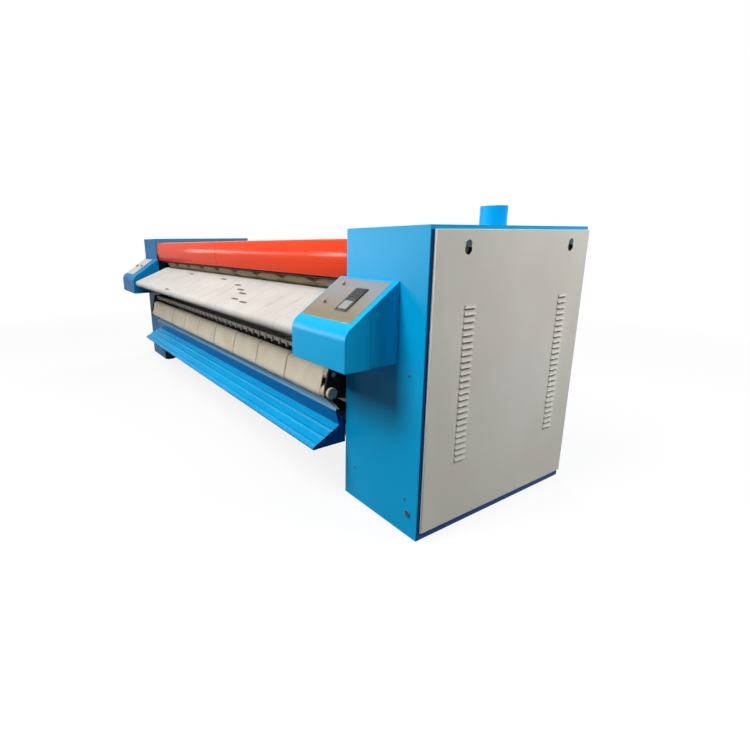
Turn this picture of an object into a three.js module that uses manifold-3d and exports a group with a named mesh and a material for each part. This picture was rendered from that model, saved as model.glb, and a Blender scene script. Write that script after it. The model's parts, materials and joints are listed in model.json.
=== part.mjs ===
// Flatwork ironer: a heated cylinder between two end cabinets, with the feed table and the
// delivery tray on the same side. Millimetres, +Z up, +X to the operator's right. The operator
// stands on the -Y side, and y = 0 is the front face of the cabinets.
import * as THREE from 'three';
import { mergeVertices } from 'three/addons/utils/BufferGeometryUtils.js';
import Module from 'manifold-3d';

const wasm = await Module();
wasm.setup();

// ---------- driving dimensions ----------
const workingGap = 3560; // clear width between the end cabinets
const cabinetWidth = 530;
const cabinetDepth = 1130;
const cabinetTop = 1400;
const footHeight = 12;
const sheet = 3; // folded sheet of covers, hood and tray
const framePlate = 12; // plate of the side frames
const gap = 0.3; // seating gap between touching pieces

const innerX = workingGap / 2;
const outerX = innerX + cabinetWidth;

const cylinder = { y: 520, z: 840, r: 400 };
const cylinderHalf = 1740;
const cylinderWall = 12;
const journalRadius = 55;

const ironingBeltCount = 9;
const ironingBeltPitch = 380;
const ironingBeltWidth = 368;
const ironingBeltThickness = 4;
const feedBeltCount = 5;
const feedBeltPitch = 684.8;
const feedBeltWidth = 680;
const feedBeltThickness = 3;
const beltClearance = 0.4;

const nipAngle = THREE.MathUtils.degToRad(140); // where the nip roller sits round the cylinder
const nipRadius = 60;
const nipDistance = cylinder.r + nipRadius + 9;
const nip = {
  y: cylinder.y + nipDistance * Math.cos(nipAngle),
  z: cylinder.z + nipDistance * Math.sin(nipAngle),
  r: nipRadius,
};
const upperOutfeed = { y: -58, z: 678, r: 34 };
const lowerOutfeed = { y: -80, z: 585, r: 34 };
const lowerReturn = { y: 950, z: 345, r: 45 };
const upperReturn = { y: 1010, z: 1285, r: 45 };
const feedNose = { y: -238, z: 922, r: 30 };
const feedDrive = { y: 88, z: 1048, r: 36 };
const rollerJournal = 15;

const hoodTop = 1355;
const panelProud = 12; // how far a side panel stands off its cabinet
const panel = { front: 20, rear: 1126, bottom: 50, top: 1383 };
const louvreCount = 25;
const louvrePitch = 29.2;
const louvreBottom = 359;
const louvreWidth = 66;
const louvreColumns = [245, 942];
const hangerRows = [210, 965];
const hangerHeight = 1327;

const controlSlope = THREE.MathUtils.degToRad(34.4);
const controlTop = 1176;
const controlBottom = 812;
const controlFront = -288;
const controlOverhang = 50; // the control boxes reach past the inner faces of the cabinets
const rightBox = { from: innerX - controlOverhang, to: 2152 };
const leftBox = { from: -outerX, to: -innerX + controlOverhang };
// Plates lie on the slanted tops; `down` is measured from the cabinet along the slope.
const rightPlate = { from: 1740, to: 2120, near: 14, far: 292 };
const leftPlate = { from: -2300, to: -1950, near: 14, far: 292 };
const plateThickness = 2;
const displayPlace = { from: 1945, to: 2030, near: 78, far: 232 };
const buttonTravel = 4;
const buttons = [
  { name: 'faster_button', x: 1823, down: 59, r: 9 },
  { name: 'slower_button', x: 1823, down: 192, r: 9 },
  { name: 'start_button', x: -2030, down: 142, r: 13 },
  { name: 'stop_button', x: -2230, down: 150, r: 17 },
];

const pipe = { x: outerX - cabinetWidth / 2, y: 725, r: 66.5, wall: 3, top: 1505 };
const fan = { y: 800, z: 1150, from: 1990, to: 2100, inlet: 78, impeller: 90 };
const outletHeight = 1296;

const drivePlane = 1890; // x of the drive belt's middle
const driveBelt = { width: 44, thickness: 9 };
const cylinderPulley = 264;
const motorPulley = { y: 310, z: 350, r: 80 };

const bodyToOrigin = -(cabinetDepth + controlFront) / 2; // brings the origin to mid depth

// ---------- finishes ----------
function finish(color, roughness, metalness) {
  return new THREE.MeshStandardMaterial({ color, roughness, metalness });
}
const bluePaint = finish(0x1fa6e0, 0.35, 0);
const greyPaint = finish(0xbcbbb3, 0.5, 0);
const redEnamel = finish(0xf0492f, 0.15, 0);
const brushedPlate = finish(0x8c7d70, 0.4, 0.8);
const darkSteel = finish(0x2b2d2e, 0.6, 0.3);
const bareSteel = finish(0x9fa2a3, 0.35, 0.9);
const polishedSteel = finish(0xc9cccd, 0.12, 1);
const castIron = finish(0x54585a, 0.7, 0.4);
const motorPaint = finish(0x5f6f78, 0.5, 0.1);
const zincSheet = finish(0xaab0b3, 0.4, 0.8);
const feedCanvas = finish(0xe5dfda, 0.9, 0);
const ironingFelt = finish(0xd3c9b3, 0.95, 0);
const blackPlastic = finish(0x161718, 0.3, 0);
const redPlastic = finish(0xc8281e, 0.3, 0);
const greenPlastic = finish(0x1e8a3c, 0.3, 0);
const pinkPlastic = finish(0xd8a79c, 0.3, 0);

// ---------- geometry helpers ----------
const machine = new THREE.Group();
machine.position.y = bodyToOrigin;

function addPart(name, geometry, material, parent = machine) {
  const mesh = new THREE.Mesh(geometry, material);
  mesh.name = name;
  parent.add(mesh);
  return mesh;
}

function toSolid(geometry) {
  const bare = geometry.clone();
  bare.deleteAttribute('normal');
  bare.deleteAttribute('uv');
  const merged = mergeVertices(bare, 1e-4);
  return new wasm.Manifold(new wasm.Mesh({
    numProp: 3,
    vertProperties: new Float32Array(merged.attributes.position.array),
    triVerts: new Uint32Array(merged.index.array),
  }));
}

function toGeometry(solid) {
  const mesh = solid.getMesh();
  const geometry = new THREE.BufferGeometry();
  geometry.setAttribute('position', new THREE.BufferAttribute(mesh.vertProperties, 3));
  geometry.setIndex(new THREE.BufferAttribute(mesh.triVerts, 1));
  geometry.computeVertexNormals();
  return geometry;
}

// Joins the solids of `added` and cuts those of `removed` out of them.
function shape(added, removed = []) {
  let body = toSolid(added[0]);
  added.slice(1).forEach((piece) => { body = body.add(toSolid(piece)); });
  removed.forEach((piece) => { body = body.subtract(toSolid(piece)); });
  return toGeometry(body);
}

function block(x0, x1, y0, y1, z0, z1) {
  const box = new THREE.BoxGeometry(Math.abs(x1 - x0), Math.abs(y1 - y0), Math.abs(z1 - z0));
  return box.translate((x0 + x1) / 2, (y0 + y1) / 2, (z0 + z1) / 2);
}

// Extrudes an outline of (y, z) points along X. `holes` are outlines too.
const acrossMachine = new THREE.Matrix4().makeBasis(
  new THREE.Vector3(0, 1, 0), new THREE.Vector3(0, 0, 1), new THREE.Vector3(1, 0, 0),
);
function alongX(outline, x0, x1, holes = []) {
  const section = new THREE.Shape(outline.map(([y, z]) => new THREE.Vector2(y, z)));
  section.holes = holes.map((hole) => new THREE.Path(hole.map(([y, z]) => new THREE.Vector2(y, z))));
  const body = new THREE.ExtrudeGeometry(section, { depth: Math.abs(x1 - x0), bevelEnabled: false });
  return body.applyMatrix4(acrossMachine).translate(Math.min(x0, x1), 0, 0);
}

// Turns a profile of (radius, x) points about an axis along X through (y, z). The profile may
// be listed either way round: it is put in the order that faces outward.
function turned(profile, sides, y = 0, z = 0) {
  const points = profile.map(([r, x]) => new THREE.Vector2(r, x));
  if (THREE.ShapeUtils.area(points) < 0) points.reverse();
  const body = new THREE.LatheGeometry(points, sides);
  return body.rotateZ(-Math.PI / 2).translate(0, y, z);
}

function rod(radius, x0, x1, sides, y = 0, z = 0) {
  const [low, high] = [Math.min(x0, x1), Math.max(x0, x1)];
  return turned([[0, low], [radius, low], [radius, high], [0, high]], sides, y, z);
}

function rodAlongY(radius, y0, y1, sides, x, z) {
  return rod(radius, y0, y1, sides).rotateZ(Math.PI / 2).translate(x, 0, z);
}

function rodAlongZ(radius, z0, z1, sides, x, y) {
  return rod(radius, z0, z1, sides).rotateY(-Math.PI / 2).translate(x, y, 0);
}

// A bore whose flats stay `clearance` off a shaft of the given radius.
function bore(radius, x0, x1, y, z, sides = 12, clearance = gap) {
  return rod((radius + clearance) / Math.cos(Math.PI / sides), x0, x1, sides, y, z);
}

function arc(y, z, radius, fromDegrees, toDegrees, steps) {
  return Array.from({ length: steps + 1 }, (_, i) => {
    const angle = THREE.MathUtils.degToRad(fromDegrees + ((toDegrees - fromDegrees) * i) / steps);
    return [y + radius * Math.cos(angle), z + radius * Math.sin(angle)];
  });
}

// Outline of a sheet bent along an open path: the path, then the path moved to its left.
function bentSheet(path, thickness) {
  const points = path.map(([y, z]) => new THREE.Vector2(y, z));
  const heading = (i) => points[i + 1].clone().sub(points[i]).normalize();
  const other = points.map((point, i) => {
    const before = heading(Math.max(i - 1, 0));
    const after = heading(Math.min(i, points.length - 2));
    const normal = new THREE.Vector2(-before.y - after.y, before.x + after.x).normalize();
    const reach = thickness / (normal.x * -after.y + normal.y * after.x);
    return [point.x + normal.x * reach, point.y + normal.y * reach];
  });
  return [...path, ...other.reverse()];
}

// ---------- belts ----------
// Closed outline of a band that runs round wheels in travel order. turn is +1 where the wheel
// lies inside the loop and -1 where the band hugs it from outside. Every facet is tangent to
// its wheel's circle, so a turning wheel never reaches the band.
function beltOutline(wheels, radiusOf, stepDegrees) {
  const signed = wheels.map((wheel) => wheel.turn * radiusOf(wheel));
  const headings = wheels.map((wheel, i) => {
    const j = (i + 1) % wheels.length;
    const dy = wheels[j].y - wheel.y;
    const dz = wheels[j].z - wheel.z;
    return Math.atan2(dz, dy) + Math.asin((signed[i] - signed[j]) / Math.hypot(dy, dz));
  });
  const fullTurn = 2 * Math.PI;
  return wheels.flatMap((wheel, i) => {
    const from = headings[(i + wheels.length - 1) % wheels.length];
    const swept = ((wheel.turn * (headings[i] - from)) % fullTurn + fullTurn) % fullTurn;
    const facets = Math.ceil(swept / THREE.MathUtils.degToRad(stepDegrees(wheel)));
    const reach = signed[i] / Math.cos(swept / (2 * facets));
    return Array.from({ length: facets }, (_, k) => {
      const heading = from + (wheel.turn * swept * (k + 0.5)) / facets;
      return [wheel.y + reach * Math.sin(heading), wheel.z - reach * Math.cos(heading)];
    });
  });
}

function beltGeometry(wheels, thickness, width, stepDegrees) {
  const near = beltClearance;
  const far = beltClearance + thickness;
  const innerFace = beltOutline(wheels, (w) => w.r + (w.turn > 0 ? near : far), stepDegrees);
  const outerFace = beltOutline(wheels, (w) => w.r + (w.turn > 0 ? far : near), stepDegrees);
  return alongX(outerFace, -width / 2, width / 2, [innerFace]);
}

function addBelts(prefix, count, pitch, geometry, material) {
  for (let i = 0; i < count; i += 1) {
    const belt = addPart(`${prefix}_${i + 1}`, geometry, material);
    belt.position.x = (i - (count - 1) / 2) * pitch;
  }
}

const ironingLoop = [
  { ...nip, turn: 1 },
  { ...cylinder, turn: -1 },
  { ...upperOutfeed, turn: 1 },
  { ...lowerOutfeed, turn: 1 },
  { ...lowerReturn, turn: 1 },
  { ...upperReturn, turn: 1 },
];
const ironingBelt = beltGeometry(
  ironingLoop, ironingBeltThickness, ironingBeltWidth, (wheel) => (wheel.turn < 0 ? 18 : 45),
);
addBelts('ironing_belt', ironingBeltCount, ironingBeltPitch, ironingBelt, ironingFelt);

const feedLoop = [{ ...feedDrive, turn: 1 }, { ...feedNose, turn: 1 }];
const feedBelt = beltGeometry(feedLoop, feedBeltThickness, feedBeltWidth, () => 36);
addBelts('feed_belt', feedBeltCount, feedBeltPitch, feedBelt, feedCanvas);

// ---------- heated cylinder and rollers ----------
const cylinderSides = 32;
const steamBore = 25;
const cylinderShaftLeft = -1900;
const cylinderShaftRight = 1950;
const cylinderBody = addPart('heated_cylinder', turned([
  [steamBore, cylinderShaftLeft], [journalRadius, cylinderShaftLeft],
  [journalRadius, -cylinderHalf], [cylinder.r, -cylinderHalf],
  [cylinder.r, cylinderHalf], [journalRadius, cylinderHalf],
  [journalRadius, cylinderShaftRight], [steamBore, cylinderShaftRight],
  [steamBore, cylinderHalf - 16], [cylinder.r - cylinderWall, cylinderHalf - 16],
  [cylinder.r - cylinderWall, -cylinderHalf + 16], [steamBore, -cylinderHalf + 16],
  [steamBore, cylinderShaftLeft],
], cylinderSides), polishedSteel);
cylinderBody.position.set(0, cylinder.y, cylinder.z);

// A cap, where given, sits on the journal outside its bearing.
function addRoller(name, place, faceHalf, journal, journalHalf, material, cap) {
  const end = cap
    ? [[journal, cap.from], [cap.r, cap.from], [cap.r, cap.to], [0, cap.to]]
    : [[journal, journalHalf], [0, journalHalf]];
  const half = [[place.r, faceHalf], [journal, faceHalf], ...end];
  const mirrored = half.map(([r, x]) => [r, -x]).reverse();
  const roller = addPart(name, turned([...mirrored, ...half], 12), material);
  roller.position.set(0, place.y, place.z);
}
const frameJournalHalf = innerX + 32;
const armInner = 1742;
const armOuter = 1752;
const outfeedCap = { r: 31, from: armOuter + 1, to: armOuter + 22 };
const cheekInner = 1715;
const cheekOuter = 1723;
addRoller('nip_roller', nip, 1722, rollerJournal, frameJournalHalf, bareSteel);
addRoller('lower_return_roller', lowerReturn, 1735, rollerJournal, frameJournalHalf, bareSteel);
addRoller('upper_return_roller', upperReturn, 1735, rollerJournal, frameJournalHalf, bareSteel);
addRoller('upper_outfeed_roller', upperOutfeed, 1736, rollerJournal, armOuter, ironingFelt);
addRoller('lower_outfeed_roller', lowerOutfeed, 1736, rollerJournal, armOuter, ironingFelt, outfeedCap);
addRoller('feed_nose_roller', feedNose, 1712, rollerJournal, cheekOuter, bareSteel);
addRoller('feed_drive_roller', feedDrive, 1712, rollerJournal, frameJournalHalf, bareSteel);

// ---------- side frames, beams and bearings ----------
const bearingBossReach = 22;
const framedRollers = [nip, lowerReturn, upperReturn, feedDrive];
const guardPivot = { y: 44, z: 1200, r: 6 };
const railFronts = [25, 1005];
const railDepth = 80;
const panHeight = 72; // top of the base pan that the drive stands on

function sideFrame(side) {
  const inner = side * innerX;
  const outer = side * (innerX + framePlate);
  const bossFace = side * (innerX + framePlate + bearingBossReach);
  const railEnd = side * (outerX - 20);
  const plate = block(inner, outer, sheet + gap, cabinetDepth - sheet - gap,
    footHeight, cabinetTop - sheet - gap);
  const bosses = framedRollers.map(({ y, z }) => rod(42, outer - side, bossFace, 12, y, z));
  const rails = railFronts.map((y) => block(outer - side, railEnd, y, y + railDepth, footHeight, 60));
  const pads = railFronts.flatMap((y) => [innerX + 20, outerX - 100].map((x) => (
    block(side * x, side * (x + 70), y + 5, y + railDepth - 5, 0, footHeight + 1))));
  const pan = block(outer - side, railEnd, railFronts[0], railFronts[1] + railDepth, 59, panHeight);
  const hoodLedge = block(side * (innerX - 15), inner + side, 130, 1040,
    hoodTop - sheet - gap - 11, hoodTop - sheet - gap);
  const cuts = [
    ...framedRollers.map(({ y, z }) => bore(rollerJournal, inner - side, bossFace + side, y, z)),
    bore(journalRadius, inner - side, outer + side, cylinder.y, cylinder.z, 20, 10),
    bore(guardPivot.r, inner - side, outer + side, guardPivot.y, guardPivot.z, 8),
  ];
  if (side > 0) cuts.push(rod(fan.inlet - 1, inner - side, outer + side, 16, fan.y, fan.z));
  return shape([plate, ...bosses, ...rails, pan, ...pads, hoodLedge], cuts);
}
addPart('side_frame_left', sideFrame(-1), bluePaint);
addPart('side_frame_right', sideFrame(1), bluePaint);

// Square-flanged housing bolted to the outside of a side frame round the cylinder's journal.
function mainBearing(side) {
  const face = side * (innerX + framePlate + gap);
  const flange = [];
  [[1, 1], [-1, 1], [-1, -1], [1, -1]].forEach(([sy, sz], corner) => {
    flange.push(...arc(sy * 85, sz * 85, 25, corner * 90, corner * 90 + 90, 2));
  });
  const place = flange.map(([y, z]) => [cylinder.y + y, cylinder.z + z]);
  const hub = turned([
    [0, side * 1805], [88, side * 1805], [88, side * 1848], [76, side * 1862], [0, side * 1862],
  ], 16, cylinder.y, cylinder.z);
  return shape([alongX(place, face, side * 1812), hub],
    [bore(journalRadius, face - side, side * 1865, cylinder.y, cylinder.z, 20)]);
}
addPart('main_bearing_left', mainBearing(-1), castIron);
addPart('main_bearing_right', mainBearing(1), castIron);

// Front and rear beams between the side frames. The front one carries the tray's brackets.
const beamHalf = innerX - gap;
const frontBeam = { front: 6, rear: 86, bottom: 395, top: 475 };
const rearBeam = { front: 1076, rear: 1116, bottom: 560, top: 640 };
const trayStubs = [-1600, -800, 0, 800, 1600];

function squareTube({ front, rear, bottom, top }, wall) {
  const outside = [[front, bottom], [rear, bottom], [rear, top], [front, top]];
  const inside = [
    [front + wall, bottom + wall], [rear - wall, bottom + wall],
    [rear - wall, top - wall], [front + wall, top - wall],
  ];
  return alongX(outside, -beamHalf, beamHalf, [inside]);
}

// ---------- catch tray ----------
// Lip, ramp with three pressed beads, shaded riser and lit top strip, bent from one sheet.
const trayHalf = 1770;
const rampFoot = [-203, 313];
const rampHead = [-36, 402];
const trayShoulder = [-60, 486];
const beadAlong = [0.13, 0.43, 0.74];
const beadHeight = 7;
const beadHalf = 0.065;

function rampPoint(along, rise = 0) {
  const dy = rampHead[0] - rampFoot[0];
  const dz = rampHead[1] - rampFoot[1];
  const length = Math.hypot(dy, dz);
  return [rampFoot[0] + dy * along - (dz / length) * rise, rampFoot[1] + dz * along + (dy / length) * rise];
}

const rampBeads = beadAlong.flatMap((along) => [
  rampPoint(along - beadHalf), rampPoint(along - beadHalf / 3, beadHeight),
  rampPoint(along + beadHalf / 3, beadHeight), rampPoint(along + beadHalf),
]);
const trayPath = [
  [-20, 528], [-42, 528], trayShoulder, rampHead, ...rampBeads.reverse(), rampFoot, [-200, 300], [-172, 300],
];
// End plates close the ramp's ends, set 1 mm inside the sheet, and the top strip falls away
// to them.
const trayEnd = [
  [rampFoot[0] + 1, rampFoot[1] - 1], [-199, 301], [4, 301], [4, 425], [-15, 443],
  [trayShoulder[0] + 1, trayShoulder[1] - 1], [rampHead[0] + 1, rampHead[1] - 1],
];
const stripSlant = { from: 1640, high: 529, low: 492 };
function slantCut(side) {
  const past = trayHalf + 5;
  const wedge = new THREE.Shape([
    new THREE.Vector2(side * stripSlant.from, stripSlant.high),
    new THREE.Vector2(side * past, stripSlant.low),
    new THREE.Vector2(side * past, stripSlant.high + 5),
  ]);
  return new THREE.ExtrudeGeometry(wedge, { depth: 80, bevelEnabled: false }).rotateX(Math.PI / 2);
}
addPart('catch_tray', shape([
  alongX(bentSheet(trayPath, sheet), -trayHalf, trayHalf),
  ...[-1, 1].map((side) => alongX(trayEnd, side * (trayHalf - sheet), side * trayHalf)),
], [-1, 1].map(slantCut)), bluePaint);

// Bracket from the beam to the back of the tray's riser.
function trayStub(x) {
  const [top, foot] = [trayShoulder, rampHead];
  const steep = (top[0] - foot[0]) / (top[1] - foot[1]);
  const behindRiser = (z) => [foot[0] + steep * (z - foot[1]) + (sheet + gap) * Math.hypot(1, steep), z];
  const root = frontBeam.front + 1;
  return alongX([[root, 400], [root, 470], behindRiser(470), behindRiser(420)], x - 20, x + 20);
}
addPart('front_cross_beam', shape([squareTube(frontBeam, 5), ...trayStubs.map(trayStub)]), darkSteel);
addPart('rear_cross_beam', squareTube(rearBeam, 4), darkSteel);

// ---------- hood and rear cover ----------
// The front is a shallow bow that meets the flat top in a tight bend, tangent to both.
const hoodBow = { y: 278, z: 1268, r: 272 };
const hoodBend = 18;
const bendTilt = Math.asin((hoodTop - hoodBend - hoodBow.z) / (hoodBow.r - hoodBend));
const bendStart = 180 - THREE.MathUtils.radToDeg(bendTilt);
const bendMiddle = hoodBow.y - (hoodBow.r - hoodBend) * Math.cos(bendTilt);
const hoodPath = [
  [36, 1162], ...arc(hoodBow.y, hoodBow.z, hoodBow.r, 203, bendStart, 7),
  ...arc(bendMiddle, hoodTop - hoodBend, hoodBend, bendStart, 90, 3).slice(1),
  ...arc(1061, hoodTop - 59, 59, 90, 0, 4), [1120, 1104],
];
function hoodHalf(side) {
  return alongX(bentSheet(hoodPath, -sheet), side * 0.4, side * (innerX - 2));
}
addPart('hood_left', hoodHalf(-1), redEnamel);
addPart('hood_right', hoodHalf(1), redEnamel);

const rearCoverPath = [[1104, 1100], [1120, 1100], [1120, 160], [1104, 160]];
addPart('rear_cover', alongX(bentSheet(rearCoverPath, -sheet), -beamHalf, beamHalf), bluePaint);

// ---------- end cabinets ----------
const wireHole = { r: 40, z: 950 };
const stripHeight = 20; // frame of the cabinet that shows round a side panel
const studShank = 9;
const studHead = 15;
const keyhole = { r: 22, drop: 24, slot: 10.5 };

function cabinetCover(side) {
  const outer = side * outerX;
  const shell = block(side * innerX, outer, 0, cabinetDepth, footHeight, cabinetTop);
  const hollow = block(side * (innerX - 1), outer - side * sheet, sheet, cabinetDepth - sheet,
    footHeight - 1, cabinetTop - sheet);
  const opening = block(outer - side * (sheet + 1), outer + side, panel.front + stripHeight,
    panel.rear - stripHeight, panel.bottom + stripHeight, panel.top - stripHeight);
  const tabs = hangerRows.map((y) => block(outer - side * sheet, outer, y - 20, y + 20,
    hangerHeight - 15, panel.top - stripHeight + 1));
  const studs = hangerRows.flatMap((y) => [
    rod(studShank, outer - side, outer + side * (panelProud + 1), 8, y, hangerHeight),
    rod(studHead, outer + side * (panelProud + 0.5), outer + side * (panelProud + 4), 12, y, hangerHeight),
  ]);
  const boxMiddle = side > 0 ? (rightBox.to + innerX) / 2 : (leftBox.from - innerX) / 2;
  const cuts = [rodAlongY(wireHole.r, -1, sheet + 1, 12, boxMiddle, wireHole.z)];
  const trims = [];
  if (side > 0) {
    cuts.push(rodAlongZ(pipe.r + 2, cabinetTop - sheet - 1, cabinetTop + 1, 16, pipe.x, pipe.y));
    trims.push(grommet(), ...coverScrews.map(([x, z]) => rodAlongY(7, -3, 1, 6, x, z)));
    cuts.push(rodAlongY(9, -9, sheet + 1, 10, grommetPlace.x, grommetPlace.z));
  }
  const frame = toSolid(shell).subtract(toSolid(hollow)).subtract(toSolid(opening));
  return shape([toGeometry(frame), ...tabs, ...studs, ...trims], cuts);
}

const grommetPlace = { x: outerX - 56, z: 129 };
const coverScrews = [[outerX - 79, 190], [outerX - 447, 190], [outerX - 79, 776]];
function grommet() {
  return rodAlongY(15, -6, 1, 12, grommetPlace.x, grommetPlace.z);
}
addPart('cabinet_cover_left', cabinetCover(-1), bluePaint);
addPart('cabinet_cover_right', cabinetCover(1), bluePaint);

// Side panel: a shallow pan with pressed louvres, hung by two keyholes on headed studs.
function sidePanel(side) {
  const back = outerX + gap;
  const face = outerX + panelProud;
  const skin = face - sheet;
  const lip = 7;
  const pan = block(side * back, side * face, panel.front, panel.rear, panel.bottom, panel.top);
  const recess = block(side * (back - 1), side * skin, panel.front + sheet, panel.rear - sheet,
    panel.bottom + sheet, panel.top - sheet);
  const hoods = [];
  const cuts = [recess];
  hangerRows.forEach((y) => {
    cuts.push(rod(keyhole.r, side * (skin - 1), side * (face + 1), 14, y, hangerHeight - keyhole.drop));
    cuts.push(block(side * (skin - 1), side * (face + 1), y - keyhole.slot, y + keyhole.slot,
      hangerHeight - keyhole.drop, hangerHeight + keyhole.slot));
  });
  louvreColumns.forEach((y) => {
    for (let i = 0; i < louvreCount; i += 1) {
      const z = louvreBottom + i * louvrePitch;
      hoods.push(louvreWedge(side, face - 0.5, face + lip, z, 18, y, louvreWidth / 2));
      cuts.push(louvreWedge(side, skin - 0.5, face + lip - 1.5, z, 16, y, louvreWidth / 2 - 1.5));
    }
  });
  return shape([pan, ...hoods], cuts);
}

// Wedge that opens downward: full depth at its bottom, running out at its top.
function louvreWedge(side, from, to, z, height, y, halfWidth) {
  const section = new THREE.Shape([
    new THREE.Vector2(side * from, z), new THREE.Vector2(side * to, z),
    new THREE.Vector2(side * from, z + height),
  ]);
  const wedge = new THREE.ExtrudeGeometry(section, { depth: 2 * halfWidth, bevelEnabled: false });
  return wedge.rotateX(Math.PI / 2).translate(0, y + halfWidth, 0);
}
addPart('side_panel_left', sidePanel(-1), greyPaint);
addPart('side_panel_right', sidePanel(1), greyPaint);

// ---------- control boxes ----------
// Group in which y runs up the slanted top towards the cabinet and z stands square to it.
const slantedTop = new THREE.Group();
slantedTop.position.z = controlTop;
slantedTop.rotation.x = controlSlope;
machine.add(slantedTop);
const onSlant = (geometry) => geometry.rotateX(controlSlope).translate(0, 0, controlTop);

function controlOutline(inset, rear) {
  const radius = 70 - inset;
  const front = controlFront + inset;
  const topAt = (y) => controlTop + Math.tan(controlSlope) * y - inset / Math.cos(controlSlope);
  const centreY = front + radius;
  const centreZ = topAt(centreY) - radius / Math.cos(controlSlope);
  const slopeDegrees = THREE.MathUtils.radToDeg(controlSlope);
  return [
    [rear, controlBottom + inset], [front, controlBottom + inset],
    ...arc(centreY, centreZ, radius, 180, 90 + slopeDegrees, 6), [rear, topAt(rear)],
  ];
}

function controlBox({ from, to }) {
  const boxMiddle = from < 0 ? (from - innerX) / 2 : (to + innerX) / 2;
  const stems = buttons.filter(({ x }) => x > from && x < to).map(({ x, down, r }) => (
    onSlant(rodAlongZ(r * 0.6 + 1, -12, 8, 10, x, -down))));
  return shape([alongX(controlOutline(0, -gap), from, to)], [
    alongX(controlOutline(sheet, -gap - sheet), from + sheet, to - sheet),
    rodAlongY(wireHole.r, -10, 1, 12, boxMiddle, wireHole.z),
    ...stems,
  ]);
}
addPart('control_box_left', controlBox(leftBox), bluePaint);
addPart('control_box_right', controlBox(rightBox), bluePaint);

function controlPlate({ from, to, near, far }) {
  const holes = buttons.filter(({ x }) => x > from && x < to).map(({ x, down, r }) => (
    rodAlongZ(r * 0.6 + 1, -1, plateThickness + 2, 10, x, -down)));
  return shape([block(from, to, -far, -near, gap, gap + plateThickness)], holes);
}
addPart('control_plate_left', controlPlate(leftPlate), brushedPlate, slantedTop);
addPart('control_plate_right', controlPlate(rightPlate), brushedPlate, slantedTop);

// Display: raised bezel round a screen that lies a little lower.
const plateTop = plateThickness + 2 * gap;
const { from: displayLeft, to: displayRight, near: displayNear, far: displayFar } = displayPlace;
addPart('display', shape(
  [block(displayLeft, displayRight, -displayFar, -displayNear, plateTop, plateTop + 6)],
  [block(displayLeft + 14, displayRight - 14, -displayFar + 10, -displayNear - 10,
    plateTop + 4, plateTop + 7)],
), blackPlastic, slantedTop);

// Push buttons: a cap on a stem that goes through the plate and the box.
const buttonFinish = {
  start_button: greenPlastic, stop_button: redPlastic,
  faster_button: pinkPlastic, slower_button: pinkPlastic,
};
buttons.forEach(({ name, x, down, r }) => {
  const capBottom = plateTop + buttonTravel + 0.7;
  const stem = r * 0.6;
  const button = addPart(name, turned([
    [0, -14], [stem, -14], [stem, capBottom], [r, capBottom], [r, capBottom + 6],
    [0, capBottom + 8],
  ], 12).rotateY(-Math.PI / 2), buttonFinish[name], slantedTop);
  button.position.set(x, -down, 0);
});

// ---------- feed table, arms, stripping fingers, finger guard ----------
const tableSlope = 0.4063; // rise of the feed belts' upper run per millimetre of depth
const tableUnder = (y) => 1055 + tableSlope * y - 8;
const bedPath = [
  [-188, tableUnder(-200) - 18], [-200, tableUnder(-200)], [36, tableUnder(36)], [42, tableUnder(36) - 18],
];
function tableCheek(side) {
  const cheek = [
    [-262, 912], [-254, 942], [66, 1078], [112, 1066], [112, 985], [40, 950], [-225, 893],
  ];
  return [
    alongX(cheek, side * cheekInner, side * cheekOuter),
    block(side * (cheekOuter - 1), side * (innerX - gap), 30, 105, 975, 1005),
  ];
}
addPart('feed_table_bed', shape(
  [alongX(bentSheet(bedPath, -4), -cheekInner - 1, cheekInner + 1), ...tableCheek(-1), ...tableCheek(1)],
  [-1, 1].flatMap((side) => [feedNose, feedDrive].map(({ y, z }) => (
    bore(rollerJournal, side * (cheekInner - 1), side * (cheekOuter + 1), y, z)))),
), bareSteel);

const armOutline = [
  [-112, 560], [-112, 612], [-90, 700], [-70, 782], [-20, 782], [60, 720], [60, 560],
];
function rollerArm(side) {
  return shape([
    alongX(armOutline, side * armInner, side * armOuter),
    rod(30, side * (armOuter - 1), side * (innerX - gap), 12, 34, 640),
    rod(22, side * (armOuter - 1), side * (innerX - gap), 10, 34, 580),
  ], [upperOutfeed, lowerOutfeed].map(({ y, z }) => (
    bore(rollerJournal, side * (armInner - 1), side * (armOuter + 1), y, z))));
}
addPart('roller_arm_left', rollerArm(-1), darkSteel);
addPart('roller_arm_right', rollerArm(1), darkSteel);

// Stripping fingers: thin blades from a tube to the cylinder's surface, a clip at each root.
const fingerCount = 36;
const fingerPitch = 94;
const fingerWidth = 16;
const fingerHeight = 739;
const tipReach = Math.sqrt((cylinder.r + 1) ** 2 - (cylinder.z - fingerHeight) ** 2);
const fingerTip = cylinder.y - tipReach;
const fingerOutline = [
  [-62, 737], [fingerTip, fingerHeight], [-30, 751], [-50, 768], [-62, 768],
];
const fingerTube = [[-54, 748], [-24, 748], [-24, 774], [-54, 774]];
const fingers = Array.from({ length: fingerCount }, (_, i) => {
  const x = (i - (fingerCount - 1) / 2) * fingerPitch;
  return alongX(fingerOutline, x - fingerWidth / 2, x + fingerWidth / 2);
});
addPart('stripper_bar', shape(
  [alongX(fingerTube, -armInner + gap, armInner - gap), ...fingers],
), darkSteel);

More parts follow.
